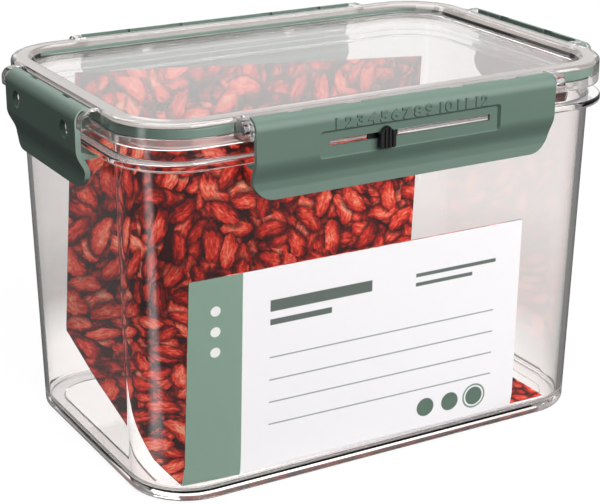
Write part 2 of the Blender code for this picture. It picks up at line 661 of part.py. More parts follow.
def make_card(parts):
    """Insert card: label flap at the front, strip on the floor, slope and back panel."""
    straight_length = BASE_HALF_LENGTH - BASE_CORNER_RADIUS
    straight_width = BASE_HALF_WIDTH - BASE_CORNER_RADIUS
    builder = bmesh.new()
    loops = []
    for along, left, left_depth, left_rise, right, right_depth, right_rise in CARD_ROW_SHARES:
        ends = ((-1, left, left_depth, left_rise), (1, right, right_depth, right_rise))
        row = []
        for side, across, depth, rise in ends:
            x = side * (straight_length + across * CARD_CORNER_RADIUS)
            y = (2 * along - 1) * straight_width + depth * CARD_CORNER_RADIUS
            row.append(builder.verts.new((x, y, CARD_FLOOR + rise * CARD_RISE)))
        loops.append(row)
    for lower, upper in zip(loops, loops[1:]):
        builder.faces.new((*lower, *reversed(upper)))
    mesh = bpy.data.meshes.new("insert_card")
    builder.to_mesh(mesh)
    builder.free()
    paper = make_material("printed_card", (0.62, 0.16, 0.07), 0.5)
    card = add_object("insert_card", mesh, parts, material=paper)
    solid = card.modifiers.new("thickness", "SOLIDIFY")
    solid.thickness = CARD_THICKNESS
    solid.offset = 0
    solid.use_even_offset = True
    return card


def main():
    """Build the container."""
    clear_scene()
    parts = make_collection("food_container")
    tools = make_collection("cutters")
    make_tub(parts)
    make_seal(parts)
    make_lid(parts, tools)
    front = make_clip("front", (), parts, tools)
    make_clip("right", SHORT_HOLE_SHARES, parts, tools)
    make_clip("back", BACK_HOLE_SHARES, parts, tools)
    make_clip("left", SHORT_HOLE_SHARES, parts, tools)
    make_slider(front, parts, tools)
    make_card(parts)
    bpy.context.view_layer.update()


main()
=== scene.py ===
"""Clip-lid food container: clear tub and lid, green seal and clips, date slider, printed card.

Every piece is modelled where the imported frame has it, in metres. The tub stands on z = 0 with its
middle on the Z axis, and its long front side, with the date slider, faces -Y.
"""

import math
from collections import namedtuple

import bmesh
import bpy
from mathutils import Euler, Matrix, Vector


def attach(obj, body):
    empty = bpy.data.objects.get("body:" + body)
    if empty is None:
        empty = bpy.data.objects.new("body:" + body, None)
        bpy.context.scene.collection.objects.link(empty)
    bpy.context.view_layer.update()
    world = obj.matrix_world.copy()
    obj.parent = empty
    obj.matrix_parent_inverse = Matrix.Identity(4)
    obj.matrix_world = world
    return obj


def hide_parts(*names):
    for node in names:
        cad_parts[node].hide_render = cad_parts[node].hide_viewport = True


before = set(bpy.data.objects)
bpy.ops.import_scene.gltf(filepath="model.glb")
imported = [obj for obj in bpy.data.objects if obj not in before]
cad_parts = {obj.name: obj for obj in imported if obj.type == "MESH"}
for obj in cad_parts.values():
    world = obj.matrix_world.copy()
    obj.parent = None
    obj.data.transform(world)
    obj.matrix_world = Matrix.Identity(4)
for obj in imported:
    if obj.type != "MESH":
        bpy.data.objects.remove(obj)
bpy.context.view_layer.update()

# Turn of a plane that stands up and faces -Y
UPRIGHT = (math.pi / 2, 0, 0)

# Outline that tub and lid share, a rounded rectangle
BASE_HALF = (0.0905, 0.0586)
BASE_CORNER = 0.0222
CORNER_STEPS = 28
CORNER_GROWTH = 0.3

# How closely an edge or face has to lie at its place to be picked
TOLERANCE = 0.00002
FINE = 0.000001
CARD_SLACK = 0.00001
RING_SLACK = 0.0007
CORNER_SLACK = 0.0019

# Tub
WALL = 0.0022
WALL_DRAFT = 0.0023
WALL_HEIGHT = 0.1192
FLOOR_HEIGHT = 0.0030
FLOOR_FILLET = 0.0030
FOOT_RADIUS = 0.0020
FOOT_INSET = 0.0084
FOOT_SLOPE = 0.0006
FOOT_DEPTH = 0.0008
FLANGE_REACH = 0.0035
FLANGE_WIDTH = 0.0025
FLANGE_TOP = WALL_HEIGHT + FLANGE_WIDTH
FLANGE_RADIUS = 0.0006
FLANGE_FILLET = 0.0004
NECK_TOP = 0.1290
NECK_RADIUS = 0.0008

# Seal
SEAL_BOTTOM = 0.1293
SEAL_HEIGHT = 0.0034
SEAL_DEPTH = 0.0044
SEAL_INSET = 0.0023
SEAL_RADIUS = 0.0006

# Lid
LID_GROWTH = 0.0051
SKIRT = 0.0020
SKIRT_BOTTOM = 0.1262
SKIRT_RADIUS = 0.0004
GROOVE_WIDTH = 0.0050
GROOVE_CEILING = 0.1330
PLUG_WALL = 0.0018
PLUG_BOTTOM = 0.1255
PLUG_RADIUS = 0.0004
PANEL_INSET = 0.0062
PANEL_SLOPE = 0.0024
PANEL_TOP = 0.1318
PANEL_UNDERSIDE = 0.1296
PANEL_RADIUS = 0.0006
RIM_TOP = 0.1350
RIM_RADIUS = 0.0016

# Hinges; a reach is measured out from the lid's skirt, and a web is given by its half length,
# depths and heights
HINGE_REACH = 0.0034
HINGE_HEIGHT = 0.1311
OVERLAP = 0.0003
BAR_RADIUS = 0.0016
RECESS_DEPTH = 0.00112
RECESS_BOTTOM = 0.1287
CUTTER_TOP = 0.1370
BRACKET_GAP = 0.0005
BRACKET_WIDTH = 0.0038
BRACKET_TOP = 0.1349
BRACKET_BOTTOM = 0.1284
BRACKET_TIP = 0.0070
BRACKET_NOSE_RADIUS = 0.0036
BRACKET_CHIN_RADIUS = 0.0010
BRACKET_RIM_RADIUS = 0.0003
WEB = (0.0010, (-HINGE_REACH, RECESS_DEPTH + OVERLAP), (0.1286, 0.1302))

# Clips; a notch is given like a web
CLIP_WALL = 0.0019
CLIP_REACH = 0.0072
CLIP_TOP = 0.1352
CLIP_BOTTOM = 0.1072
CLIP_CORNER = 0.0045
CLIP_FOOT_RADIUS = 0.0080
CLIP_EDGE_RADIUS = 0.0007
CLIP_END = 0.0009
CLIP_TUCK = 0.0030
BEND_TOP = 0.1212
BEND_BOTTOM = 0.1128
BEND_STEPS = 14
FLARE_TOP = 0.1106
FLARE_MIDDLE = 0.1089
FLARE = 0.0006
LIP_REACH = 0.0024
NOTCH = (0.00275, (-0.0034, -0.0014), (0.1320, CUTTER_TOP))
HOLE_RADIUS = 0.0032
HOLE_HEIGHT = 0.1264
HOLE_DEPTH = 0.0040
HOLE_MIDDLE = -0.0052
HOLE_RIM_STEPS = ((0.00002, 0.00018), (0.00008, 0.0001), (0.0001, 0.00004))
RIB_INSET = 0.0006
RIB_DEPTHS = (-0.0056, 0.0009)
RIB_HEIGHTS = (0.1179, 0.1189)
RIB_BEND = -0.0013
RIB_RISE = 0.0018
RIB_RADIUS = 0.0003
CLAW_LENGTH = 0.0050
CLAW_WALL = 0.0012
CLAW_GAP = 0.0003
CLAW_TURN = -140

# Each side: quarter turns from the front, half length of its clip, skirt's distance from the
# middle, then how far along it lie the webs, the claws and the holes
Side = namedtuple("Side", "quarter half skirt webs claws holes")
LONG_SIDE = (0.0584, 0.0637, (0.042, 0.020), (0.0314, 0.009))
SHORT_SIDE = (0.0310, 0.0956, (0.014,), (0.026, 0.009))
SIDES = {
    "front": Side(0, *LONG_SIDE, ()),
    "right": Side(1, *SHORT_SIDE, (0.0212,)),
    "back": Side(2, *LONG_SIDE, (0.0314,)),
    "left": Side(3, *SHORT_SIDE, (0.0212,)),
}
FRONT_FACE = -SIDES["front"].skirt - CLIP_REACH

# Date window and the slot through it: half length, heights, depth, corner and flare of the rim
OPENINGS = {
    "window": (0.0346, (0.1192, 0.1274), 0.0009, 0.0010, 0.0008),
    "slot": (0.0314, (0.12275, 0.12485), 0.0030, 0.0003, 0),
}

# Numbers above the date window
MONTH_HEIGHT = 0.12855
MONTH_WIDENING = 1.34
MONTH_PLACES = (
    -0.0292, -0.02455, -0.0203, -0.0158, -0.0113, -0.0071,
    -0.0029, 0.0018, 0.0062, 0.0125, 0.0196, 0.0270,
)

# Date slider; its furrows, neck and retainer by half length, depths and heights
SLIDER_PLACE = -0.0104
KNOB_FACE = FRONT_FACE - 0.0014
KNOB_BACK = KNOB_FACE + 0.0017
KNOB_HALF = 0.0029
KNOB_HEIGHTS = (0.1196, 0.1248)
KNOB_POINT = 0.0022
KNOB_POINT_SHARE = 0.08
KNOB_CORNER = 0.0006
KNOB_EDGE = 0.00012
FURROW = (0.0003, (KNOB_FACE - 0.001, KNOB_FACE + 0.0005), (0.1180, 0.1290))
FURROW_PLACES = (-0.00145, 0.0, 0.00145)
NECK = (0.00175, (KNOB_BACK - 0.0002, -0.0682), (0.12305, 0.12455))
RETAINER = (0.00585, (-0.0687, -0.0677), (0.1218, 0.1258))
RETAINER_RADIUS = 0.0003

# Insert card: each row's left end and right end, from the label's top edge to the back panel's,
# and how far some rows bow forward in their middle
CARD_THICKNESS = 0.0005
CARD_FOLD_RADIUS = 0.0004
CARD_ROWS = (
    ((-0.0760, -0.0560, 0.0799), (0.0570, -0.0563, 0.0793)),
    ((-0.0772, -0.0524, 0.0110), (0.0562, -0.0560, 0.0110)),
    ((-0.0774, -0.0510, 0.0056), (0.0561, -0.0552, 0.0056)),
    ((-0.0770, -0.0500, 0.0039), (0.0740, -0.0530, 0.0039)),
    ((-0.0768, -0.0475, 0.00355), (0.0747, -0.0500, 0.00355)),
    ((-0.0769, -0.0260, 0.00355), (0.0747, -0.0260, 0.00355)),
    ((-0.0770, -0.0030, 0.0104), (0.0763, -0.0030, 0.0096)),
    ((-0.0770, 0.0190, 0.0165), (0.0779, 0.0190, 0.0151)),
    ((-0.0757, 0.0497, 0.0250), (0.0798, 0.0497, 0.0221)),
    ((-0.0755, 0.0500, 0.0262), (0.0799, 0.0500, 0.0233)),
    ((-0.0689, 0.0500, 0.1236), (0.0839, 0.0500, 0.1119)),
)
CARD_ENDS = [[Vector(end) for end in row] for row in CARD_ROWS]
CARD_BOWS = {2: 0.0009, 3: 0.0019, 4: 0.0014}
CARD_STRIPS = 32

# Label, by distance across the card and along it: bars and lines have a left end, a right end, a
# top and a depth, and rounds have a middle, an inner and an outer radius
STRIPE_END = -0.0565
MARK_EDGE = 0.00012
LABEL_BARS = (
    (-0.046, -0.006, 0.0120, 0.0042),
    (-0.046, -0.022, 0.0190, 0.0022),
    (0.012, 0.046, 0.0130, 0.0014),
    (0.012, 0.036, 0.0165, 0.0014),
)
LABEL_LINES = [(-0.046, 0.046, 0.0330 + 0.0085 * step, 0.0005) for step in range(4)]
LABEL_DISCS = [(0.0180 + 0.0105 * step, 0.0665, -1, 0.0036) for step in range(3)]
LABEL_RINGS = [(0.0390, 0.0665, 0.0042, 0.0049)]
LABEL_SPOTS = [(-0.0665, 0.0120 + 0.0075 * step, -1, 0.0018) for step in range(3)]

# Printed fruits: cells per metre, layers, half length and half width of a fruit in its cell
FRUITS_PER_METRE = 62
FRUIT_LAYERS = 6
FRUIT_HALF = (0.50, 0.245)
FRUIT_COLOURS = (
    (0.05, (0.045, 0.003, 0.003)),
    (0.28, (0.20, 0.007, 0.006)),
    (0.50, (0.60, 0.030, 0.016)),
    (0.70, (0.83, 0.118, 0.066)),
    (0.88, (0.88, 0.33, 0.21)),
    (1.00, (0.92, 0.48, 0.34)),
)
FRUIT_GAP_COLOUR = (0.030, 0.003, 0.004)
FRUIT_SHADE_COLOUR = (0.012, 0.001, 0.001)

# Finishes
PLASTIC_IOR = 1.5
CLEAR_HAZE = 0.02
SATIN_COLOUR = (0.84, 0.83, 0.82)
SATIN_SHARES = (0.93, 1.07)

# Camera, from the photograph's edges; its turn is pitch, none and heading, in degrees
CAMERA_PLACE = (-0.29997, -0.51912, 0.27803)
CAMERA_TURN = (90 - 20.0942, 0, -29.8403)
CAMERA_ROLL = 0.1217

# Studio: greys that gloss mirrors and tints that clear plastic shows, from below to above
MIRRORED_GREYS = ((0.00, 0.30), (0.48, 0.45), (0.56, 0.52), (0.75, 0.52), (1.00, 0.50))
THROUGH_TINTS = (
    (0.00, (0.40, 0.38, 0.37)),
    (0.45, (0.80, 0.77, 0.755)),
    (0.70, (0.80, 0.77, 0.755)),
    (1.00, (0.55, 0.54, 0.53)),
)
FILL_LIGHT = (0.15, 0.15, 0.152)
PAPER_HEIGHT = -0.0002
PAPER_WHITE = 0.90
BOUNCED_WHITE = 0.12

# Softboxes: place, size and power
LAMPS = {
    "front_softbox": ((0.60, -1.35, 0.85), (1.6, 1.3), 43.0),
    "top_softbox": ((0.0, 0.1, 1.5), (1.9, 1.0), 18.5),
    "back_softbox": ((0.70, 1.30, 0.66), (1.5, 0.62), 1.9),
    "rear_softbox": ((-0.25, 1.05, 1.35), (1.2, 0.8), 13.0),
}
LAMP_TARGET = Vector((0, 0, 0.06))


# Modelling


def select_only(*items):
    """Select these objects and nothing else, and make the first one active."""
    bpy.ops.object.select_all(action="DESELECT")
    for item in items:
        item.select_set(True)
    bpy.context.view_layer.objects.active = items[0]


def open_mesh(item):
    """Start editing a piece's mesh with nothing selected."""
    select_only(item)
    bpy.ops.object.mode_set(mode="EDIT")
    bpy.ops.mesh.select_mode(type="VERT")
    bpy.ops.mesh.select_all(action="DESELECT")


def close_mesh():
    """Leave edit mode."""
    bpy.ops.object.mode_set(mode="OBJECT")


def select_all():
    """Select the whole open mesh."""
    bpy.ops.mesh.select_all(action="SELECT")


def pick(kind, test):
    """Select the open mesh's verts, edges or faces that pass a test."""
    bpy.ops.mesh.select_mode(type=kind[:-1].upper())
    bpy.ops.mesh.select_all(action="DESELECT")
    data = bpy.context.edit_object.data
    shape = bmesh.from_edit_mesh(data)
    for element in getattr(shape, kind):
        if test(element):
            element.select_set(True)
    shape.select_flush_mode()
    bmesh.update_edit_mesh(data)


def flat_at(height, facing):
    """Test for a face that lies flat at a height and faces up (1) or down (-1)."""
    return lambda face: (
        abs(face.calc_center_median().z - height) < TOLERANCE and face.normal.z * facing > 0.9
    )


def outline_distance(place):
    """How far outside the tub's base outline a place lies."""
    across = abs(place.x) - BASE_HALF[0] + BASE_CORNER
    along = abs(place.y) - BASE_HALF[1] + BASE_CORNER
    return math.hypot(max(across, 0), max(along, 0)) + min(max(across, along), 0) - BASE_CORNER


def ring_at(*rings):
    """Test for edges of rings, each at a height and a distance outside the base outline.

    A wider outline has tighter corners than a plain offset, so its corners lie a little further out.
    """

    def on_ring(place, height, out):
        apart = outline_distance(place) - out
        return abs(place.z - height) < TOLERANCE and -RING_SLACK < apart < CORNER_SLACK

    def test(edge):
        return any(all(on_ring(corner.co, *ring) for corner in edge.verts) for ring in rings)

    return test


def span(edge):
    """How far apart an edge's ends are along each axis."""
    return [abs(gap) for gap in edge.verts[0].co - edge.verts[1].co]


def extrude(x=0.0, y=0.0, z=0.0):
    """Extrude the selection by a step."""
    bpy.ops.mesh.extrude_region_move(TRANSFORM_OT_translate={"value": (x, y, z)})


def inset(thickness, depth=0.0):
    """Inset the selected face evenly."""
    bpy.ops.mesh.inset(thickness=thickness, depth=depth, use_even_offset=True)


def grow(half, growth):
    """Widen the selection so that its half length and half width grow, and return them."""
    wide = (half[0] + growth, half[1] + growth)
    factor = (wide[0] / half[0], wide[1] / half[1], 1)
    bpy.ops.transform.resize(value=factor, center_override=(0, 0, 0))
    return wide


def bevel(offset, segments, vertices=False):
    """Round the selected edges or corners."""
    kind = "VERTICES" if vertices else "EDGES"
    bpy.ops.mesh.bevel(
        offset=offset, segments=segments, affect=kind, clamp_overlap=False, loop_slide=False
    )


def round_edges(test, radius, segments):
    """Round the open mesh's edges that pass a test."""
    pick("edges", test)
    bevel(radius, segments)


def round_rings(item, *rounds):
    """Round rings of a moulded piece: each round has a radius, its segments and its rings."""
    open_mesh(item)
    for radius, segments, *rings in rounds:
        round_edges(ring_at(*rings), radius, segments)
    close_mesh()


def apply_modifier(item, kind, **settings):
    """Add a modifier with its settings and apply it."""
    select_only(item)
    modifier = item.modifiers.new(kind.lower(), kind)
    for name, value in settings.items():
        setattr(modifier, name, value)
    bpy.ops.object.modifier_apply(modifier=modifier.name)


def freeze(item, name):
    """Name a piece and move its place, turn and size into its mesh."""
    item.name = name
    item.data.name = name
    select_only(item)
    bpy.ops.object.transform_apply(location=True, rotation=True, scale=True)


def added(name, scale=(1, 1, 1)):
    """Name and freeze the object that was just added, at a scale."""
    item = bpy.context.object
    item.scale = scale
    freeze(item, name)
    return item


def add_plate(name, size, place, turn=(0, 0, 0)):
    """Add a plane of a given size."""
    bpy.ops.mesh.primitive_plane_add(size=1, location=place, rotation=turn)
    return added(name, (*size, 1))


def add_block(name, low, high):
    """Add a cube stretched between two corners."""
    middle = [(a + b) / 2 for a, b in zip(low, high)]
    bpy.ops.mesh.primitive_cube_add(size=1, location=middle)
    return added(name, [b - a for a, b in zip(low, high)])


def add_bar(name, half, depths, heights, middle=0.0):
    """Add a block by its half length, and by its limits in depth and in height."""
    low = (middle - half, depths[0], heights[0])
    return add_block(name, low, (middle + half, depths[1], heights[1]))


def add_rod(name, radius, length, place, turn, steps):
    """Add a cylinder."""
    bpy.ops.mesh.primitive_cylinder_add(
        vertices=steps, radius=radius, depth=length, location=place, rotation=turn
    )
    return added(name)


def copy_piece(item, name, along):
    """Copy a piece with a mesh of its own, moved along X."""
    twin = item.copy()
    twin.data = item.data.copy()
    bpy.context.scene.collection.objects.link(twin)
    twin.matrix_world = Matrix.Translation((along, 0, 0))
    freeze(twin, name)
    return twin


def join(target, *others):
    """Join pieces into one mesh."""
    select_only(target, *others)
    bpy.ops.object.join()
    return target


def boolean(target, tool, operation):
    """Cut a piece with a tool or unite it with one, and use the tool up."""
    apply_modifier(target, "BOOLEAN", operation=operation, solver="EXACT", object=tool)
    bpy.data.objects.remove(tool, do_unlink=True)


def point_outward(item):
    """Merge doubles and make a closed piece's faces point out of it."""
    open_mesh(item)
    select_all()
    bpy.ops.mesh.remove_doubles(threshold=2 * FINE)
    bpy.ops.mesh.normals_make_consistent(inside=False)
    if bmesh.from_edit_mesh(item.data).calc_volume(signed=True) < 0:
        bpy.ops.mesh.flip_normals()
    close_mesh()


def smooth(item, angle=32):
    """Shade a piece smooth across its shallow edges, with its flat faces kept flat."""
    select_only(item)
    bpy.ops.object.shade_smooth_by_angle(angle=math.radians(angle))
    apply_modifier(item, "WEIGHTED_NORMAL", keep_sharp=True, weight=100)


def soften(item, radius, segments, angle):
    """Round all edges of a piece that are sharper than an angle."""
    limit = math.radians(angle)
    apply_modifier(item, "BEVEL", width=radius, segments=segments, limit_method="ANGLE", angle_limit=limit)


def both_ends(places):
    """Each place and its mirror image, from the middle of a side."""
    return [end * place for place in places for end in (-1, 1)]


def side_matrix(side):
    """Place of a side: its own frame has the skirt at y = 0 and faces -Y."""
    turn = Matrix.Rotation(math.radians(90 * SIDES[side].quarter), 4, "Z")
    return turn @ Matrix.Translation((0, -SIDES[side].skirt, 0))


def put_on_side(item, side):
    """Move a piece from a side's own frame to its place."""
    item.matrix_world = side_matrix(side)
    freeze(item, item.name)


def finish_piece(item, body, node, slot, *materials):
    """Give a piece its materials, body and CAD node; its slot argument is not used."""
    item.data.materials.clear()
    for material in materials:
        item.data.materials.append(material)
    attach(item, body)
    if node:
        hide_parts(node)


def paint(item, index, test):
    """Give a piece's faces that pass a test another of its materials."""
    for face in item.data.polygons:
        if test(face):
            face.material_index = index


def on_side(side, test):
    """Make a test of a face's middle and normal work in a side's own frame."""
    inward = side_matrix(side).inverted()
    turn = inward.to_3x3()
    return lambda face: test(inward @ face.center, turn @ face.normal)


# Materials


class Net:
    """Nodes of a material, of the world or of a node group."""

    def __init__(self, tree):
        self.tree = tree

    def add(self, kind, **options):
        """Add a shader node with its options."""
        node = self.tree.nodes.new("ShaderNode" + kind)
        for name, value in options.items():
            setattr(node, name, value)
        return node

    def feed(self, socket, value):
        """Link a socket to an output, or set its number, vector or colour."""
        if isinstance(value, bpy.types.NodeSocket):
            self.tree.links.new(value, socket)
        else:
            socket.default_value = (*value, 1) if socket.type == "RGBA" else value

    def fill(self, node, *values, **named):
        """Feed a node's inputs in their order, or by name with _ for a space; return its outputs."""
        for socket, value in zip(node.inputs, values):
            self.feed(socket, value)
        for name, value in named.items():
            self.feed(node.inputs[name.replace("_", " ")], value)
        return node.outputs

    def noise(self, scale, detail=3, roughness=0.5, vector=None, distortion=0):
        """Noise on object coordinates, or on a given vector."""
        if vector is None:
            vector = self.add("TexCoord").outputs["Object"]
        noise = self.add("TexNoise")
        self.fill(noise, Scale=scale, Detail=detail, Roughness=roughness, Distortion=distortion)
        return self.fill(noise, Vector=vector)["Fac"]

    def graded(self, value, low, high, start=0, end=1):
        """Turn a value from start to end into one from low to high."""
        return self.fill(self.add("MapRange"), value, start, end, low, high)["Result"]

    def sum(self, operation, *values):
        """Do one sum on values and numbers."""
        return self.fill(self.add("Math", operation=operation), *values)[0]

    def plus(self, first, second):
        """Add two values."""
        return self.sum("ADD", first, second)

    def minus(self, first, second):
        """Take the second value from the first."""
        return self.sum("SUBTRACT", first, second)

    def times(self, first, second):
        """Multiply two values."""
        return self.sum("MULTIPLY", first, second)

    def vector(self, operation, *values):
        """Do one sum on vectors."""
        outputs = self.fill(self.add("VectorMath", operation=operation), *values)
        return outputs["Value" if operation == "LENGTH" else "Vector"]

    def split(self, vector):
        """Parts of a vector."""
        return self.fill(self.add("SeparateXYZ"), vector)

    def ramp(self, value, stops):
        """Turn a value into colours."""
        node = self.add("ValToRGB")
        colours = node.color_ramp.elements
        colours.remove(colours[1])
        colours[0].position = stops[0][0]
        colours[0].color = (*stops[0][1], 1)
        for place, colour in stops[1:]:
            colours.new(place).color = (*colour, 1)
        return self.fill(node, value)["Color"]

    def blend(self, share, first, second):
        """Blend two colours by a share."""
        node = self.add("Mix", data_type="RGBA")
        for place, value in (("Factor", share), (6, first), (7, second)):
            self.feed(node.inputs[place], value)
        return node.outputs[2]

    def bump(self, shader, height, strength, distance):
        """Let a height pattern shape the shader's surface."""
        bump = self.fill(self.add("Bump"), Strength=strength, Distance=distance, Height=height)
        self.fill(shader, Normal=bump["Normal"])


def new_material(name):
    """Start a material and return it with its net and shader."""
    material = bpy.data.materials.new(name)
    material.use_nodes = True
    net = Net(material.node_tree)
    return material, net, net.tree.nodes["Principled BSDF"]


def clear_plastic(name, tint, grazing_shade_tint, wave):
    """Clear moulded plastic: bends light, darkens towards its edges with painted shade where it is seen
    edge-on, and lets lamp light through.
    """
    material, net, shader = new_material(name)
    grazing = net.fill(net.add("LayerWeight"), Blend=0.22)["Facing"]
    clear = net.fill(
        shader,
        # Base colour darkens towards the second tint where the face is seen edge-on: painted shade.
        Base_Color=net.blend(net.graded(grazing, 0, 1, 0.25), tint, grazing_shade_tint),
        Roughness=net.graded(net.noise(35, 2), 0, CLEAR_HAZE, 0.35, 0.7),
        Transmission_Weight=1,
        IOR=PLASTIC_IOR,
        Specular_IOR_Level=0.4,
    )
    net.bump(shader, net.noise(28, 1), 0.05, wave)
    straight = net.fill(net.add("BsdfTransparent"), Color=(0.985, 0.98, 0.978))
    path = net.add("LightPath").outputs
    lit = net.sum("MAXIMUM", path["Is Shadow Ray"], path["Is Diffuse Ray"])
    surface = net.fill(net.add("MixShader"), lit, clear["BSDF"], straight["BSDF"])
    net.fill(net.tree.nodes["Material Output"], Surface=surface["Shader"])
    return material


def satin_clear_plastic(name, clearness, colour=SATIN_COLOUR):
    """Clear plastic with a satin face that scatters part of the light."""
    material, net, shader = new_material(name)
    clouds = net.noise(160)
    dim, pale = (tuple(share * part for part in colour) for share in SATIN_SHARES)
    net.fill(
        shader,
        Base_Color=net.blend(clouds, dim, pale),
        Roughness=net.graded(clouds, 0.04, 0.12),
        Transmission_Weight=clearness,
        IOR=PLASTIC_IOR,
    )
    return material


def coloured_plastic(name, colour, shade, roughness):
    """Opaque moulded plastic with a fine satin grain."""
    material, net, shader = new_material(name)
    colour = net.blend(net.graded(net.noise(45), 0, 1, 0.3, 0.7), colour, shade)
    specks = net.noise(2600, 2)
    rough = net.graded(specks, roughness - 0.06, roughness + 0.06, 0.3, 0.7)
    net.fill(shader, Base_Color=colour, Roughness=rough, Specular_IOR_Level=0.3)
    net.bump(shader, specks, 0.12, 0.00005)
    return material


def fruit_shape(net, spot):
    """Fruits in their cells: each one's chances, lengthwise and crosswise places, and reach."""
    cells = net.add("TexVoronoi", voronoi_dimensions="2D")
    cells = net.fill(cells, Vector=spot, Scale=1, Randomness=0.7)
    chance = net.fill(net.add("SeparateColor"), Color=cells["Color"])
    apart = net.vector("SUBTRACT", spot, cells["Position"])
    turn = net.add("VectorRotate", rotation_type="Z_AXIS")
    turned = net.fill(turn, Vector=apart, Angle=net.times(chance["Red"], 6.283))
    parts = net.split(turned["Vector"])
    along = parts["X"]
    bend = net.times(net.minus(chance["Green"], 0.5), 1.2)
    across = net.plus(parts["Y"], net.times(net.times(along, along), bend))
    wobble = net.times(net.minus(net.noise(5, 3, 0.6, spot), 0.5), 0.2)
    long_way = net.sum("DIVIDE", along, FRUIT_HALF[0])
    wide_way = net.sum("DIVIDE", net.plus(across, wobble), FRUIT_HALF[1])
    far = net.plus(net.times(long_way, long_way), net.times(wide_way, wide_way))
    return chance, along, across, wide_way, far


def fruit_colour(net, chance, along, across, wide_way, far):
    """Colour of the fruits: domed, lit from one side, creased lengthwise, each one a little its own."""
    dome = net.sum("SQRT", net.sum("MAXIMUM", net.minus(1, far), 0))
    lengthwise = (net.times(along, 5), net.times(across, 11), net.times(chance["Blue"], 30))
    lengthwise = net.fill(net.add("CombineXYZ"), *lengthwise)["Vector"]
    creases = net.noise(1, 6, 0.68, lengthwise, 0.6)
    lit = net.plus(net.times(dome, 0.61), net.times(wide_way, 0.20))
    lit = net.plus(lit, net.times(net.minus(creases, 0.5), 1.55))
    lit = net.plus(lit, net.times(net.minus(chance["Blue"], 0.45), 0.42))
    return net.ramp(lit, FRUIT_COLOURS)


def fruit_layer():
    """Node group that lays one scatter of dried fruits over a colour."""
    group = bpy.data.node_groups.new("fruit_layer", "ShaderNodeTree")
    for name, kind in (("Place", "Vector"), ("Shift", "Vector"), ("Under", "Color")):
        group.interface.new_socket(name, in_out="INPUT", socket_type="NodeSocket" + kind)
    group.interface.new_socket("Colour", in_out="OUTPUT", socket_type="NodeSocketColor")
    net = Net(group)
    start = group.nodes.new("NodeGroupInput").outputs
    end = group.nodes.new("NodeGroupOutput")
    spot = net.vector("MULTIPLY", start["Place"], (FRUITS_PER_METRE,) * 3)
    shape = fruit_shape(net, net.vector("ADD", spot, start["Shift"]))
    far = shape[-1]
    under = net.blend(net.graded(far, 0.12, 1, 0.9, 1.9), FRUIT_SHADE_COLOUR, start["Under"])
    inside = net.graded(far, 1, 0, 0.9, 1)
    net.fill(end, Colour=net.blend(inside, under, fruit_colour(net, *shape)))
    return group


def fruit_print(net):
    """Printed heap of dried fruits, layer over layer."""
    place = net.add("UVMap", uv_map="card").outputs["UV"]
    group = fruit_layer()
    colour = FRUIT_GAP_COLOUR
    for number in range(FRUIT_LAYERS):
        shift = (3.71 * number + 0.4, 2.37 * number + 0.9, 0)
        layer = net.add("Group", node_tree=group)
        colour = net.fill(layer, Place=place, Shift=shift, Under=colour)["Colour"]
    return colour


def printed_card():
    """Card printed with a heap of red dried fruits."""
    material, net, shader = new_material("card_print")
    fibres = net.noise(900)
    rough = net.graded(fibres, 0.42, 0.6)
    net.fill(shader, Base_Color=fruit_print(net), Roughness=rough, Specular_IOR_Level=0.12)
    net.bump(shader, fibres, 0.08, 0.00005)
    return material


def label_marks(net, white, green):
    """Lay the label's stripe, bars, ruled lines, discs, ring and spots over its white."""
    place = net.split(net.add("UVMap", uv_map="card").outputs["UV"])
    across, along = place["X"], place["Y"]

    def between(value, low, high):
        rise = net.graded(value, 0, 1, low - MARK_EDGE, low + MARK_EDGE)
        fall = net.graded(value, 1, 0, high - MARK_EDGE, high + MARK_EDGE)
        return net.times(rise, fall)

    def bar(left, right, top, depth):
        return net.times(between(across, left, right), between(along, top, top + depth))

    def disc(x, y, inner, outer):
        dx, dy = net.minus(across, x), net.minus(along, y)
        far = net.sum("SQRT", net.plus(net.times(dx, dx), net.times(dy, dy)))
        return between(far, inner, outer)

    colour = net.blend(between(across, -0.2, STRIPE_END), white, green)
    for form, marks, mark_colour in (
        (bar, LABEL_BARS, (0.085, 0.115, 0.10)),
        (bar, LABEL_LINES, (0.26, 0.32, 0.29)),
        (disc, LABEL_DISCS, (0.085, 0.145, 0.11)),
        (disc, LABEL_RINGS, (0.16, 0.26, 0.21)),
        (disc, LABEL_SPOTS, (0.84, 0.85, 0.84)),
    ):
        share = form(*marks[0])
        for mark in marks[1:]:
            share = net.sum("MAXIMUM", share, form(*mark))
        colour = net.blend(share, colour, mark_colour)
    return colour


def label_print():
    """Label side of the card: white, with a green stripe and plain marks."""
    material, net, shader = new_material("card_label")
    fibres = net.noise(700)
    white = net.blend(fibres, (0.90, 0.905, 0.94), (0.93, 0.935, 0.965))
    green = net.blend(fibres, (0.190, 0.298, 0.236), (0.208, 0.322, 0.256))
    colour = label_marks(net, white, green)
    net.fill(shader, Base_Color=colour, Roughness=net.graded(fibres, 0.45, 0.6))
    net.bump(shader, fibres, 0.06, 0.00004)
    return material


def card_core():
    """Cut edge of the card: pale board."""
    material, net, shader = new_material("card_edge")
    fibres = net.noise(1800, 4)
    board = net.blend(fibres, (0.62, 0.60, 0.58), (0.82, 0.80, 0.78))
    net.fill(shader, Base_Color=board, Roughness=net.graded(fibres, 0.6, 0.85))
    return material


# Studio


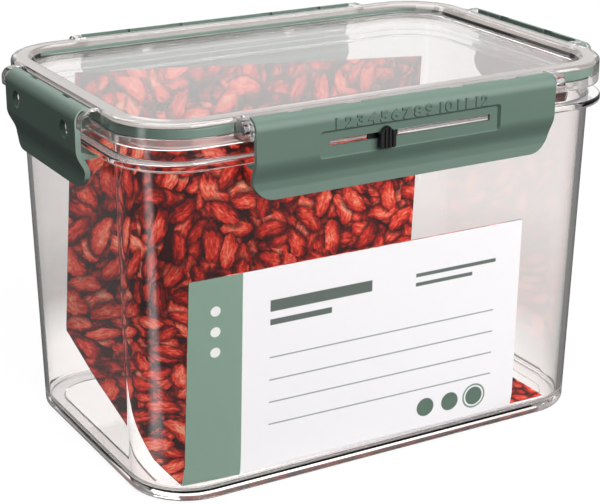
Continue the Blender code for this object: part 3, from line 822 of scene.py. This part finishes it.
def make_camera():
    """Camera at the photograph's viewpoint."""
    data = bpy.data.cameras.new("camera")
    data.sensor_width = 36
    data.lens = 101.92
    data.clip_start = 0.01
    camera = bpy.data.objects.new("camera", data)
    bpy.context.scene.collection.objects.link(camera)
    turn = Euler([math.radians(angle) for angle in CAMERA_TURN]).to_matrix().to_4x4()
    roll = Matrix.Rotation(math.radians(CAMERA_ROLL), 4, "Z")
    camera.matrix_world = Matrix.Translation(CAMERA_PLACE) @ turn @ roll
    bpy.context.scene.camera = camera
    bpy.context.scene.view_settings.view_transform = "Standard"


def straight_through(net, path):
    """1 for light that went through clear plastic without being mirrored on its way."""
    mirrored = net.sum("MINIMUM", path["Glossy Depth"], 1)
    return net.times(path["Is Transmission Ray"], net.minus(1, mirrored))


def make_world():
    """White surroundings: plain for the camera, softly graded for gloss and for clear plastic."""
    world = bpy.data.worlds.new("studio")
    bpy.context.scene.world = world
    world.use_nodes = True
    net = Net(world.node_tree)
    path = net.add("LightPath").outputs
    height = net.split(net.add("TexCoord").outputs["Generated"])["Z"]
    height = net.graded(height, 0, 1, -1)
    mirrored = net.ramp(height, [(place, (grey,) * 3) for place, grey in MIRRORED_GREYS])
    through = net.ramp(height, THROUGH_TINTS)
    seen = net.blend(straight_through(net, path), mirrored, through)
    sharp = net.sum("MAXIMUM", path["Is Glossy Ray"], path["Is Transmission Ray"])
    colour = net.blend(sharp, FILL_LIGHT, seen)
    colour = net.blend(path["Is Camera Ray"], colour, (1, 1, 1))
    net.fill(net.tree.nodes["Background"], Color=colour)


def glow_through(net, path, place):
    """Floor's glow in clear plastic: a painted pool of light below the tub with a painted shadow ring around
    it, and faint after a mirroring.
    """
    spot = net.vector("MULTIPLY_ADD", place, (1 / 0.12, 1 / 0.09, 0), (0.2, -0.35, 0))
    far = net.vector("LENGTH", spot)
    # Painted light: brightest below the tub, darker in a ring around it as painted shadow, then a faint halo
    # further out.
    painted_pool_and_shadow = net.plus(net.graded(far, 1.44, 0.68, 0.80, 1.30), net.graded(far, 0, 0.16, 1.6, 2.4))
    bounced = net.sum("MINIMUM", path["Glossy Depth"], BOUNCED_WHITE)
    bounced = net.times(path["Is Transmission Ray"], bounced)
    return net.plus(net.times(straight_through(net, path), painted_pool_and_shadow), bounced)


def glow_mirrored(net, path, place):
    """Painted reflection: a floor strip at the left that glows for gloss rays only, which the gloss of the
    left clip mirrors.
    """
    parts = net.split(place)
    beside = net.plus(net.plus(parts["Y"], net.times(parts["X"], -0.2)), 0.03)
    beside = net.sum("ABSOLUTE", net.sum("DIVIDE", beside, parts["X"]))
    strip = net.graded(beside, 2, 0, 0.05, 0.14)
    left = net.graded(parts["X"], 1, 0, -0.14, -0.10)
    return net.times(net.times(strip, left), path["Is Glossy Ray"])


def make_floor():
    """White floor that keeps the container's soft shadow, with painted light in its glow: a pool under the
    tub and a strip at the left.
    """
    bpy.ops.mesh.primitive_plane_add(size=8, location=(0, 0, PAPER_HEIGHT))
    floor = added("studio_floor")
    material, net, shader = new_material("studio_paper")
    path = net.add("LightPath").outputs
    place = net.add("TexCoord").outputs["Object"]
    seen = net.times(path["Is Camera Ray"], PAPER_WHITE)
    glow = net.plus(glow_mirrored(net, path, place), seen)
    net.fill(
        shader,
        Base_Color=net.blend(net.noise(3, 2), (0.075,) * 3, (0.085,) * 3),
        Roughness=0.9,
        Specular_IOR_Level=0,
        Emission_Color=(1, 1, 1),
        # Emission: even white for the camera, plus the painted pool and shadow seen in the plastic and the
        # painted reflection strip at the left.
        Emission_Strength=net.plus(glow_through(net, path, place), glow),
    )
    floor.data.materials.append(material)


def make_lamps():
    """Softboxes in front, overhead, low behind and high behind, that face the container."""
    for name, (place, size, power) in LAMPS.items():
        data = bpy.data.lights.new(name, "AREA")
        data.shape = "RECTANGLE"
        data.size, data.size_y = size
        data.energy = power
        lamp = bpy.data.objects.new(name, data)
        bpy.context.scene.collection.objects.link(lamp)
        turn = (LAMP_TARGET - Vector(place)).to_track_quat("-Z", "Y").to_matrix().to_4x4()
        lamp.matrix_world = Matrix.Translation(place) @ turn


# Tub, seal and lid


def rounded_plate(name, growth, out, height):
    """Flat start of a moulded piece: the shared outline at a growth and a distance outward."""
    half = (BASE_HALF[0] + growth + out, BASE_HALF[1] + growth + out)
    plate = add_plate(name, (2 * half[0], 2 * half[1]), (0, 0, height))
    open_mesh(plate)
    select_all()
    bevel(BASE_CORNER + CORNER_GROWTH * growth + out, CORNER_STEPS, vertices=True)
    select_all()
    return plate, half


def make_tub(plastic, milky):
    """Tub: drafted walls, clip flange, neck, hollow inside with a filleted floor, foot ring."""
    tub, half = rounded_plate("clear_tub", 0, 0, 0)
    extrude(z=WALL_HEIGHT)
    half = grow(half, WALL_DRAFT)
    extrude()
    half = grow(half, FLANGE_REACH)
    extrude(z=FLANGE_WIDTH)
    extrude()
    half = grow(half, -FLANGE_REACH)
    extrude(z=NECK_TOP - FLANGE_TOP)
    inset(WALL)
    extrude(z=WALL_HEIGHT - NECK_TOP)
    half = (half[0] - WALL, half[1] - WALL)
    extrude(z=FLOOR_HEIGHT - WALL_HEIGHT)
    grow(half, WALL_DRAFT * (FLOOR_HEIGHT / WALL_HEIGHT - 1))
    pick("faces", flat_at(0, -1))
    inset(FOOT_INSET)
    inset(FOOT_SLOPE, -FOOT_DEPTH)
    close_mesh()
    point_outward(tub)
    floor_out = WALL_DRAFT * FLOOR_HEIGHT / WALL_HEIGHT - WALL
    flange_out = WALL_DRAFT + FLANGE_REACH
    round_rings(
        tub,
        (FOOT_RADIUS, 8, (0, 0)),
        (FLOOR_FILLET, 10, (FLOOR_HEIGHT, floor_out)),
        (FLANGE_RADIUS, 4, (WALL_HEIGHT, flange_out), (FLANGE_TOP, flange_out)),
        (NECK_RADIUS, 4, (NECK_TOP, WALL_DRAFT), (NECK_TOP, WALL_DRAFT - WALL)),
        (FLANGE_FILLET, 3, (WALL_HEIGHT, WALL_DRAFT), (FLANGE_TOP, WALL_DRAFT)),
    )
    smooth(tub)
    finish_piece(tub, "container", "box_body", "clear_tub", plastic, milky)

    def flange_or_foot(face):
        out = outline_distance(face.center)
        on_flange = abs(face.center.z - FLANGE_TOP) < 0.0002 and out > WALL_DRAFT - 0.0005
        on_foot = face.center.z < 0.0012 and out > -0.0083
        return (face.normal.z > 0.9 and on_flange) or (face.normal.z < -0.3 and on_foot)

    paint(tub, 1, flange_or_foot)


def make_seal(rubber):
    """Seal: a rounded green ring in the lid's groove."""
    seal, _ = rounded_plate("seal", LID_GROWTH, -SEAL_INSET, SEAL_BOTTOM)
    extrude(z=SEAL_HEIGHT)
    inset(SEAL_DEPTH)
    pick("faces", flat_at(SEAL_BOTTOM, -1))
    inset(SEAL_DEPTH)

    def caps(face):
        middle = face.calc_center_median()
        return abs(middle.x) < 0.001 and abs(middle.y) < 0.001 and abs(face.normal.z) > 0.9

    pick("faces", caps)
    bpy.ops.mesh.bridge_edge_loops()
    close_mesh()
    point_outward(seal)
    outer = LID_GROWTH - SEAL_INSET
    heights = (SEAL_BOTTOM, SEAL_BOTTOM + SEAL_HEIGHT)
    rings = [(height, out) for height in heights for out in (outer - SEAL_DEPTH, outer)]
    round_rings(seal, (SEAL_RADIUS, 4, *rings))
    smooth(seal)
    finish_piece(seal, "container", "seal_ring", "seal_rubber", rubber)


def round_bracket(bracket):
    """Round a bracket's nose, chin and rim."""

    def at_tip(height):
        def near(place):
            return abs(place.y + BRACKET_TIP) < TOLERANCE and abs(place.z - height) < TOLERANCE

        return lambda edge: all(near(corner.co) for corner in edge.verts)

    def rim(edge):
        return span(edge)[0] < TOLERANCE and max(corner.co.y for corner in edge.verts) < RECESS_DEPTH

    open_mesh(bracket)
    round_edges(at_tip(BRACKET_TOP), BRACKET_NOSE_RADIUS, 10)
    round_edges(at_tip(BRACKET_BOTTOM), BRACKET_CHIN_RADIUS, 4)
    round_edges(rim, BRACKET_RIM_RADIUS, 2)
    close_mesh()


def make_hinge(side):
    """Bar, end brackets and webs of one side, as one solid at its place on the lid."""
    inside = SIDES[side].half + BRACKET_GAP
    length = 2 * inside + BRACKET_WIDTH
    root = RECESS_DEPTH + OVERLAP
    place = (0, -HINGE_REACH, HINGE_HEIGHT)
    hinge = add_rod(side + "_bar", BAR_RADIUS, length, place, (0, math.pi / 2, 0), 32)
    low = (inside, -BRACKET_TIP, BRACKET_BOTTOM)
    bracket = add_block(side + "_bracket", low, (inside + BRACKET_WIDTH, root, BRACKET_TOP))
    round_bracket(bracket)
    twin = copy_piece(bracket, side + "_bracket_twin", -length)
    boolean(hinge, bracket, "UNION")
    boolean(hinge, twin, "UNION")
    for place in both_ends(SIDES[side].webs):
        boolean(hinge, add_bar(side + "_web", *WEB, place), "UNION")
    put_on_side(hinge, side)
    return hinge


def make_lid_shell():
    """Lid without its hinges: sunk panel, rounded rim, skirt, seal groove and plug wall."""
    lid, _ = rounded_plate("clear_lid", LID_GROWTH, 0, SKIRT_BOTTOM)
    extrude(z=RIM_TOP - SKIRT_BOTTOM)
    inset(PANEL_INSET)
    inset(PANEL_SLOPE, PANEL_TOP - RIM_TOP)
    pick("faces", flat_at(SKIRT_BOTTOM, -1))
    inset(SKIRT)
    extrude(z=GROOVE_CEILING - SKIRT_BOTTOM)
    inset(GROOVE_WIDTH)
    extrude(z=PLUG_BOTTOM - GROOVE_CEILING)
    inset(PLUG_WALL)
    extrude(z=PANEL_UNDERSIDE - PLUG_BOTTOM)
    close_mesh()
    point_outward(lid)
    plug_out = LID_GROWTH - SKIRT - GROOVE_WIDTH
    panel_out = LID_GROWTH - PANEL_INSET
    round_rings(
        lid,
        (RIM_RADIUS, 8, (RIM_TOP, LID_GROWTH)),
        (SKIRT_RADIUS, 3, (SKIRT_BOTTOM, LID_GROWTH), (SKIRT_BOTTOM, LID_GROWTH - SKIRT)),
        (PLUG_RADIUS, 3, (PLUG_BOTTOM, plug_out), (PLUG_BOTTOM, plug_out - PLUG_WALL)),
        (PANEL_RADIUS, 4, (RIM_TOP, panel_out), (PANEL_TOP, panel_out - PANEL_SLOPE)),
    )
    return lid


def make_lid(plastic, satin, milky, dull):
    """Lid: its shell, with a recess and a hinge on every side."""
    lid = make_lid_shell()
    for side in SIDES:
        reach = SIDES[side].half + BRACKET_GAP + OVERLAP
        depths, heights = (-0.003, RECESS_DEPTH), (RECESS_BOTTOM, CUTTER_TOP)
        recess = add_bar(side + "_recess", reach, depths, heights)
        put_on_side(recess, side)
        boolean(lid, recess, "DIFFERENCE")
        boolean(lid, make_hinge(side), "UNION")
    open_mesh(lid)
    select_all()
    bpy.ops.mesh.bisect(plane_co=(0, 0, SEAL_BOTTOM), plane_no=(0, 0, 1))
    close_mesh()
    smooth(lid)
    finish_piece(lid, "container", "lid", "clear_lid", plastic, satin, milky, dull)
    paint_lid(lid)


def paint_lid(lid):
    """Satin bars and front recess, milky lower skirt inside, and dull groove ceiling."""
    reach = SIDES["front"].half + BRACKET_GAP + OVERLAP

    def bar(middle, normal):
        from_bar = math.hypot(middle.y + HINGE_REACH, middle.z - HINGE_HEIGHT)
        return abs(from_bar - BAR_RADIUS) < 0.00005 and abs(normal.x) < 0.1

    def recess(middle, normal):
        in_recess = abs(middle.y - RECESS_DEPTH) < 0.00005 and abs(middle.x) < reach
        return in_recess and normal.y < -0.9

    def inner_skirt(face):
        out = outline_distance(face.center) - LID_GROWTH + SKIRT
        upright = abs(face.normal.z) < 0.3 and face.center.z < SEAL_BOTTOM
        return upright and -0.0003 < out < CORNER_SLACK

    def ceiling(face):
        return face.normal.z < -0.9 and abs(face.center.z - GROOVE_CEILING) < 0.0001

    for side in SIDES:
        paint(lid, 1, on_side(side, bar))
    paint(lid, 1, on_side("front", recess))
    paint(lid, 2, inner_skirt)
    paint(lid, 3, ceiling)


# Clips


def clip_depth(height):
    """How far the middle of a clip's wall is tucked in at a height."""
    share = min(max((height - BEND_BOTTOM) / (BEND_TOP - BEND_BOTTOM), 0), 1)
    tuck = CLIP_TUCK * (1 - share * share * (3 - 2 * share))
    if height < FLARE_TOP:
        tuck -= FLARE * (FLARE_TOP - height) / (FLARE_TOP - CLIP_BOTTOM)
    return tuck


def clip_plate(name, half):
    """Bent plate of a clip in its side's own frame: rounded feet, S bend, top turned in."""
    corner_height = CLIP_TOP - CLIP_CORNER
    height = corner_height - CLIP_BOTTOM
    place = (0, CLIP_WALL / 2 - CLIP_REACH, CLIP_BOTTOM + height / 2)
    plate = add_plate(name, (2 * half, height), place, UPRIGHT)
    open_mesh(plate)
    pick("verts", lambda vert: vert.co.z < CLIP_BOTTOM + TOLERANCE)
    bevel(CLIP_FOOT_RADIUS, 12, vertices=True)
    step = (BEND_TOP - BEND_BOTTOM) / BEND_STEPS
    for row in (FLARE_MIDDLE, FLARE_TOP, *(BEND_BOTTOM + step * number for number in range(BEND_STEPS + 1))):
        select_all()
        bpy.ops.mesh.bisect(plane_co=(0, 0, row), plane_no=(0, 0, 1), threshold=FINE)
    for row in sorted({round(vert.co.z, 7) for vert in bmesh.from_edit_mesh(plate.data).verts}):
        if clip_depth(row) != 0:
            pick("verts", lambda vert: abs(vert.co.z - row) < FINE)
            bpy.ops.transform.translate(value=(0, clip_depth(row), 0))
    pick("edges", lambda edge: all(vert.co.z > corner_height - TOLERANCE for vert in edge.verts))
    centre = (0, CLIP_CORNER - CLIP_REACH, corner_height)
    bpy.ops.mesh.spin(steps=10, angle=math.pi / 2, center=centre, axis=(1, 0, 0))
    extrude(y=CLIP_REACH - CLIP_CORNER - LIP_REACH)
    close_mesh()
    apply_modifier(plate, "SOLIDIFY", thickness=CLIP_WALL, offset=0, use_even_offset=True)
    point_outward(plate)
    soften(plate, CLIP_EDGE_RADIUS, 4, 50)
    return plate


def flared_hole(place):
    """Cutter for a round hole whose outer rim is softly rounded."""
    middle = (place, HOLE_MIDDLE, HOLE_HEIGHT)
    cutter = add_rod("hole", HOLE_RADIUS, HOLE_DEPTH, middle, UPRIGHT, 56)
    open_mesh(cutter)
    pick("faces", lambda face: face.normal.y < -0.9)
    for step, growth in HOLE_RIM_STEPS:
        extrude(y=-step)
        factor = 1 + growth / HOLE_RADIUS
        centre = (place, 0, HOLE_HEIGHT)
        bpy.ops.transform.resize(value=(factor, 1, factor), center_override=centre)
    close_mesh()
    return cutter


def latch_rib(half):
    """Rib inside a clip that hooks under the tub's flange."""
    rib = add_bar("latch_rib", half - RIB_INSET, RIB_DEPTHS, RIB_HEIGHTS)
    open_mesh(rib)
    select_all()
    bpy.ops.mesh.bisect(plane_co=(0, RIB_BEND, 0), plane_no=(0, 1, 0))
    middle = sum(RIB_HEIGHTS) / 2
    pick("verts", lambda vert: vert.co.y < RIB_DEPTHS[0] + 0.0006 and vert.co.z > middle)
    bpy.ops.transform.translate(value=(0, 0, RIB_RISE))

    def hook(edge):
        return span(edge)[0] > 0.001 and all(vert.co.y > RIB_DEPTHS[1] - 0.0001 for vert in edge.verts)

    round_edges(hook, RIB_RADIUS, 3)
    close_mesh()
    return rib


def make_claw():
    """Claw that snaps over the hinge bar, at the middle of a side."""
    radius = BAR_RADIUS + CLAW_GAP + CLAW_WALL / 2
    place = (0, -HINGE_REACH - radius, HINGE_HEIGHT + CLAW_WALL / 2)
    strip = add_plate("claw", (CLAW_LENGTH, CLAW_WALL), place, UPRIGHT)
    open_mesh(strip)
    pick("edges", lambda edge: all(vert.co.z < HINGE_HEIGHT + 0.0001 for vert in edge.verts))
    centre = (0, -HINGE_REACH, HINGE_HEIGHT)
    bpy.ops.mesh.spin(steps=12, angle=math.radians(CLAW_TURN), center=centre, axis=(1, 0, 0))
    close_mesh()
    apply_modifier(strip, "SOLIDIFY", thickness=CLAW_WALL, offset=0)
    point_outward(strip)
    return strip


def make_clip(side, plastic, edge):
    """Clip of one side, with its latch rib, claws, notches, holes or date window, and a painted highlight in
    lighter green on its end faces.
    """
    half = SIDES[side].half
    clip = clip_plate(side + "_latch", half)
    for place in both_ends(SIDES[side].webs):
        boolean(clip, add_bar("notch", *NOTCH, place), "DIFFERENCE")
    for place in both_ends(SIDES[side].holes):
        boolean(clip, flared_hole(place), "DIFFERENCE")
    if side == "front":
        cut_date_window(clip)
    claw = make_claw()
    claws = [copy_piece(claw, "claw_copy", place) for place in both_ends(SIDES[side].claws)]
    bpy.data.objects.remove(claw, do_unlink=True)
    join(clip, latch_rib(half), *claws)
    put_on_side(clip, side)
    smooth(clip)
    finish_piece(clip, side + "_clip_body", side + "_clip", "clip_green", plastic, edge)

    # Lighter green on the clip's rounded end faces: a painted highlight.
    def end_face(middle, normal):
        return abs(middle.x) > half - CLIP_END and abs(normal.x) > 0.2 and normal.y < 0.1

    paint(clip, 1, on_side(side, end_face))


def rounded_cutter(name, half, heights, depth, corner, flare):
    """Cutter for a rounded opening from the clip's face inward, with a soft outer rim."""
    bottom, top = heights
    cutter = add_bar(name, half, (-CLIP_REACH, depth - CLIP_REACH), heights)
    open_mesh(cutter)
    round_edges(lambda edge: span(edge)[1] > depth / 2, corner, 5)
    pick("faces", lambda face: face.normal.y < -0.9)
    factor = (1 + flare / half, 1, 1 + 2 * flare / (top - bottom))
    bpy.ops.transform.resize(value=factor, center_override=(0, 0, (bottom + top) / 2))
    extrude(y=-0.001)
    close_mesh()
    return cutter


def cut_date_window(clip):
    """Shallow window and the slot through it that the date slider runs in."""
    for name, sizes in OPENINGS.items():
        boolean(clip, rounded_cutter(name, *sizes), "DIFFERENCE")


def make_months(plastic, painted_shade):
    """Raised numbers 1 to 12 above the date window, with painted shade in darker green on their side walls.
    """
    figures = []
    for month, place in enumerate(MONTH_PLACES, 1):
        place = (place, FRONT_FACE, MONTH_HEIGHT)
        bpy.ops.object.text_add(location=place, rotation=UPRIGHT)
        text = bpy.context.object.data
        text.body = str(month)
        text.align_x = "CENTER"
        text.size = 0.0049
        text.extrude = 0.00008
        text.bevel_depth = 0.0002
        text.bevel_resolution = 2
        select_only(bpy.context.object)
        bpy.ops.object.convert(target="MESH")
        figures.append(added(f"month_{month}", (MONTH_WIDENING, 1, 1)))
    months = join(*figures)
    months.name = "month_numbers"
    smooth(months)
    finish_piece(months, "front_clip_body", None, "clip_green", plastic, painted_shade)
    # Side walls of the numbers in darker green: painted shade.
    paint(months, 1, lambda face: face.normal.y > -0.9)


def make_knob():
    """Ribbed knob of the date slider, with a pointed top."""
    knob = add_bar("date_knob", KNOB_HALF, (KNOB_FACE, KNOB_BACK), KNOB_HEIGHTS)
    open_mesh(knob)
    pick("faces", lambda face: face.normal.z > 0.9)
    extrude(z=KNOB_POINT)
    bpy.ops.transform.resize(value=(KNOB_POINT_SHARE, 1, 1), center_override=(0, 0, 0))

    def lower_corner(edge):
        low = all(vert.co.z < KNOB_HEIGHTS[0] + 0.0001 for vert in edge.verts)
        return low and span(edge)[1] > 0.001

    round_edges(lower_corner, KNOB_CORNER, 4)
    close_mesh()
    for place in FURROW_PLACES:
        boolean(knob, add_bar("furrow", *FURROW, place), "DIFFERENCE")
    soften(knob, KNOB_EDGE, 2, 30)
    return knob


def make_slider(plastic):
    """Date slider: knob, neck and retainer."""
    knob = make_knob()
    neck = add_bar("neck", *NECK)
    retainer = add_bar("retainer", *RETAINER)
    open_mesh(retainer)
    select_all()
    bevel(RETAINER_RADIUS, 2)
    close_mesh()
    join(knob, neck, retainer)
    knob.matrix_world = Matrix.Translation((SLIDER_PLACE, 0, 0))
    freeze(knob, "date_pointer")
    smooth(knob)
    finish_piece(knob, "date_slider_body", "date_slider", "slider_black", plastic)


# Insert card


def move_corner(start, target):
    """Move the open mesh's corner at one place to another."""
    pick("verts", lambda vert: (vert.co - start).length < CARD_SLACK)
    bpy.ops.transform.translate(value=target - start)


def joining(*ends):
    """Test for the edge between two places."""

    def near(place):
        return min((place - end).length for end in ends) < CARD_SLACK

    return lambda edge: all(near(vert.co) for vert in edge.verts)


def card_surface():
    """Card without thickness, and each row's distance along it from the label's top edge."""
    card = add_plate("folded_card", (1, 1), (0, 0, 0))
    open_mesh(card)
    for row in (0, 1):
        for end in (0, 1):
            move_corner(Vector((end - 0.5, row - 0.5, 0)), CARD_ENDS[row][end])
    lengths = [0.0, (CARD_ENDS[1][0] - CARD_ENDS[0][0]).length]
    for (left, right), (next_left, next_right) in zip(CARD_ENDS[1:], CARD_ENDS[2:]):
        step = next_left - left
        lengths.append(lengths[-1] + step.length)
        pick("edges", joining(left, right))
        extrude(*step)
        move_corner(right + step, next_right)
    close_mesh()
    return card, lengths


def chart_card(card, lengths):
    """Give the card its own coordinates: across it, and along it over all folds."""
    for layer in list(card.data.uv_layers):
        card.data.uv_layers.remove(layer)
    chart = card.data.uv_layers.new(name="card")
    for loop in card.data.loops:
        place = card.data.vertices[loop.vertex_index].co
        gaps = [min((place - end).length for end in row) for row in CARD_ENDS]
        chart.data[loop.index].uv = (place.x, lengths[gaps.index(min(gaps))])


def bow_card(card):
    """Divide the card into strips and bow the label forward near its fold."""
    open_mesh(card)
    pick("edges", lambda edge: span(edge)[0] > 0.1)
    bpy.ops.mesh.subdivide(number_cuts=CARD_STRIPS - 1)
    for row, bow in CARD_BOWS.items():
        left, right = CARD_ENDS[row]
        for column in range(1, CARD_STRIPS):
            share = column / CARD_STRIPS
            start = left.lerp(right, share)
            move_corner(start, start - Vector((0, bow * (1 - (2 * share - 1) ** 4), 0)))
    close_mesh()


def make_card(printed, label, core):
    """Folded card: label flap, strip on the floor, slope and back panel."""
    card, lengths = card_surface()
    chart_card(card, lengths)
    bow_card(card)
    apply_modifier(card, "SOLIDIFY", thickness=CARD_THICKNESS, offset=0, use_even_offset=True)
    point_outward(card)
    open_mesh(card)
    round_edges(
        lambda edge: len(edge.link_faces) == 2 and 0.25 <= edge.calc_face_angle(0) < 1.45,
        CARD_FOLD_RADIUS,
        3,
    )
    close_mesh()
    smooth(card, 40)
    finish_piece(card, "container", "insert_card", "printed_card", printed, label, core)
    paint(card, 2, lambda face: face.area < 0.0000035 and abs(face.normal.x) > 0.8)
    paint(card, 1, lambda face: face.center.y < -0.0480 and face.normal.y < -0.5)


make_camera()
make_world()
make_floor()
make_lamps()

tub_plastic = clear_plastic("clear_tub_plastic", (0.985, 0.965, 0.955), (0.66, 0.63, 0.62), 0.0004)
lid_plastic = clear_plastic("clear_lid_plastic", (0.90, 0.885, 0.875), (0.66, 0.64, 0.63), 0.00016)
satin_plastic = satin_clear_plastic("satin_hinge_plastic", 0.35, (0.64, 0.63, 0.62))
dull_plastic = satin_clear_plastic("dull_groove_plastic", 0.35, (0.34, 0.31, 0.29))
milky_plastic = satin_clear_plastic("milky_skirt_plastic", 0.70)
green_plastic = coloured_plastic("clip_green_plastic", (0.100, 0.152, 0.124), (0.107, 0.161, 0.132), 0.44)
green_rubber = coloured_plastic("seal_green_rubber", (0.172, 0.262, 0.222), (0.188, 0.282, 0.240), 0.5)
# Lighter green for the clips' end faces: a painted highlight.
painted_highlight_plastic = coloured_plastic("clip_painted_highlight_plastic", (0.25, 0.34, 0.29), (0.265, 0.36, 0.305), 0.36)
# Darker green for the numbers' side walls: painted shade.
painted_shade_plastic = coloured_plastic("number_painted_shade_plastic", (0.060, 0.095, 0.076), (0.068, 0.105, 0.085), 0.5)
black_plastic = coloured_plastic("slider_black_plastic", (0.012, 0.012, 0.013), (0.020, 0.020, 0.021), 0.30)

make_tub(tub_plastic, milky_plastic)
make_seal(green_rubber)
make_lid(lid_plastic, satin_plastic, milky_plastic, dull_plastic)
for clip_side in SIDES:
    make_clip(clip_side, green_plastic, painted_highlight_plastic)
make_months(green_plastic, painted_shade_plastic)
make_slider(black_plastic)
make_card(printed_card(), label_print(), card_core())
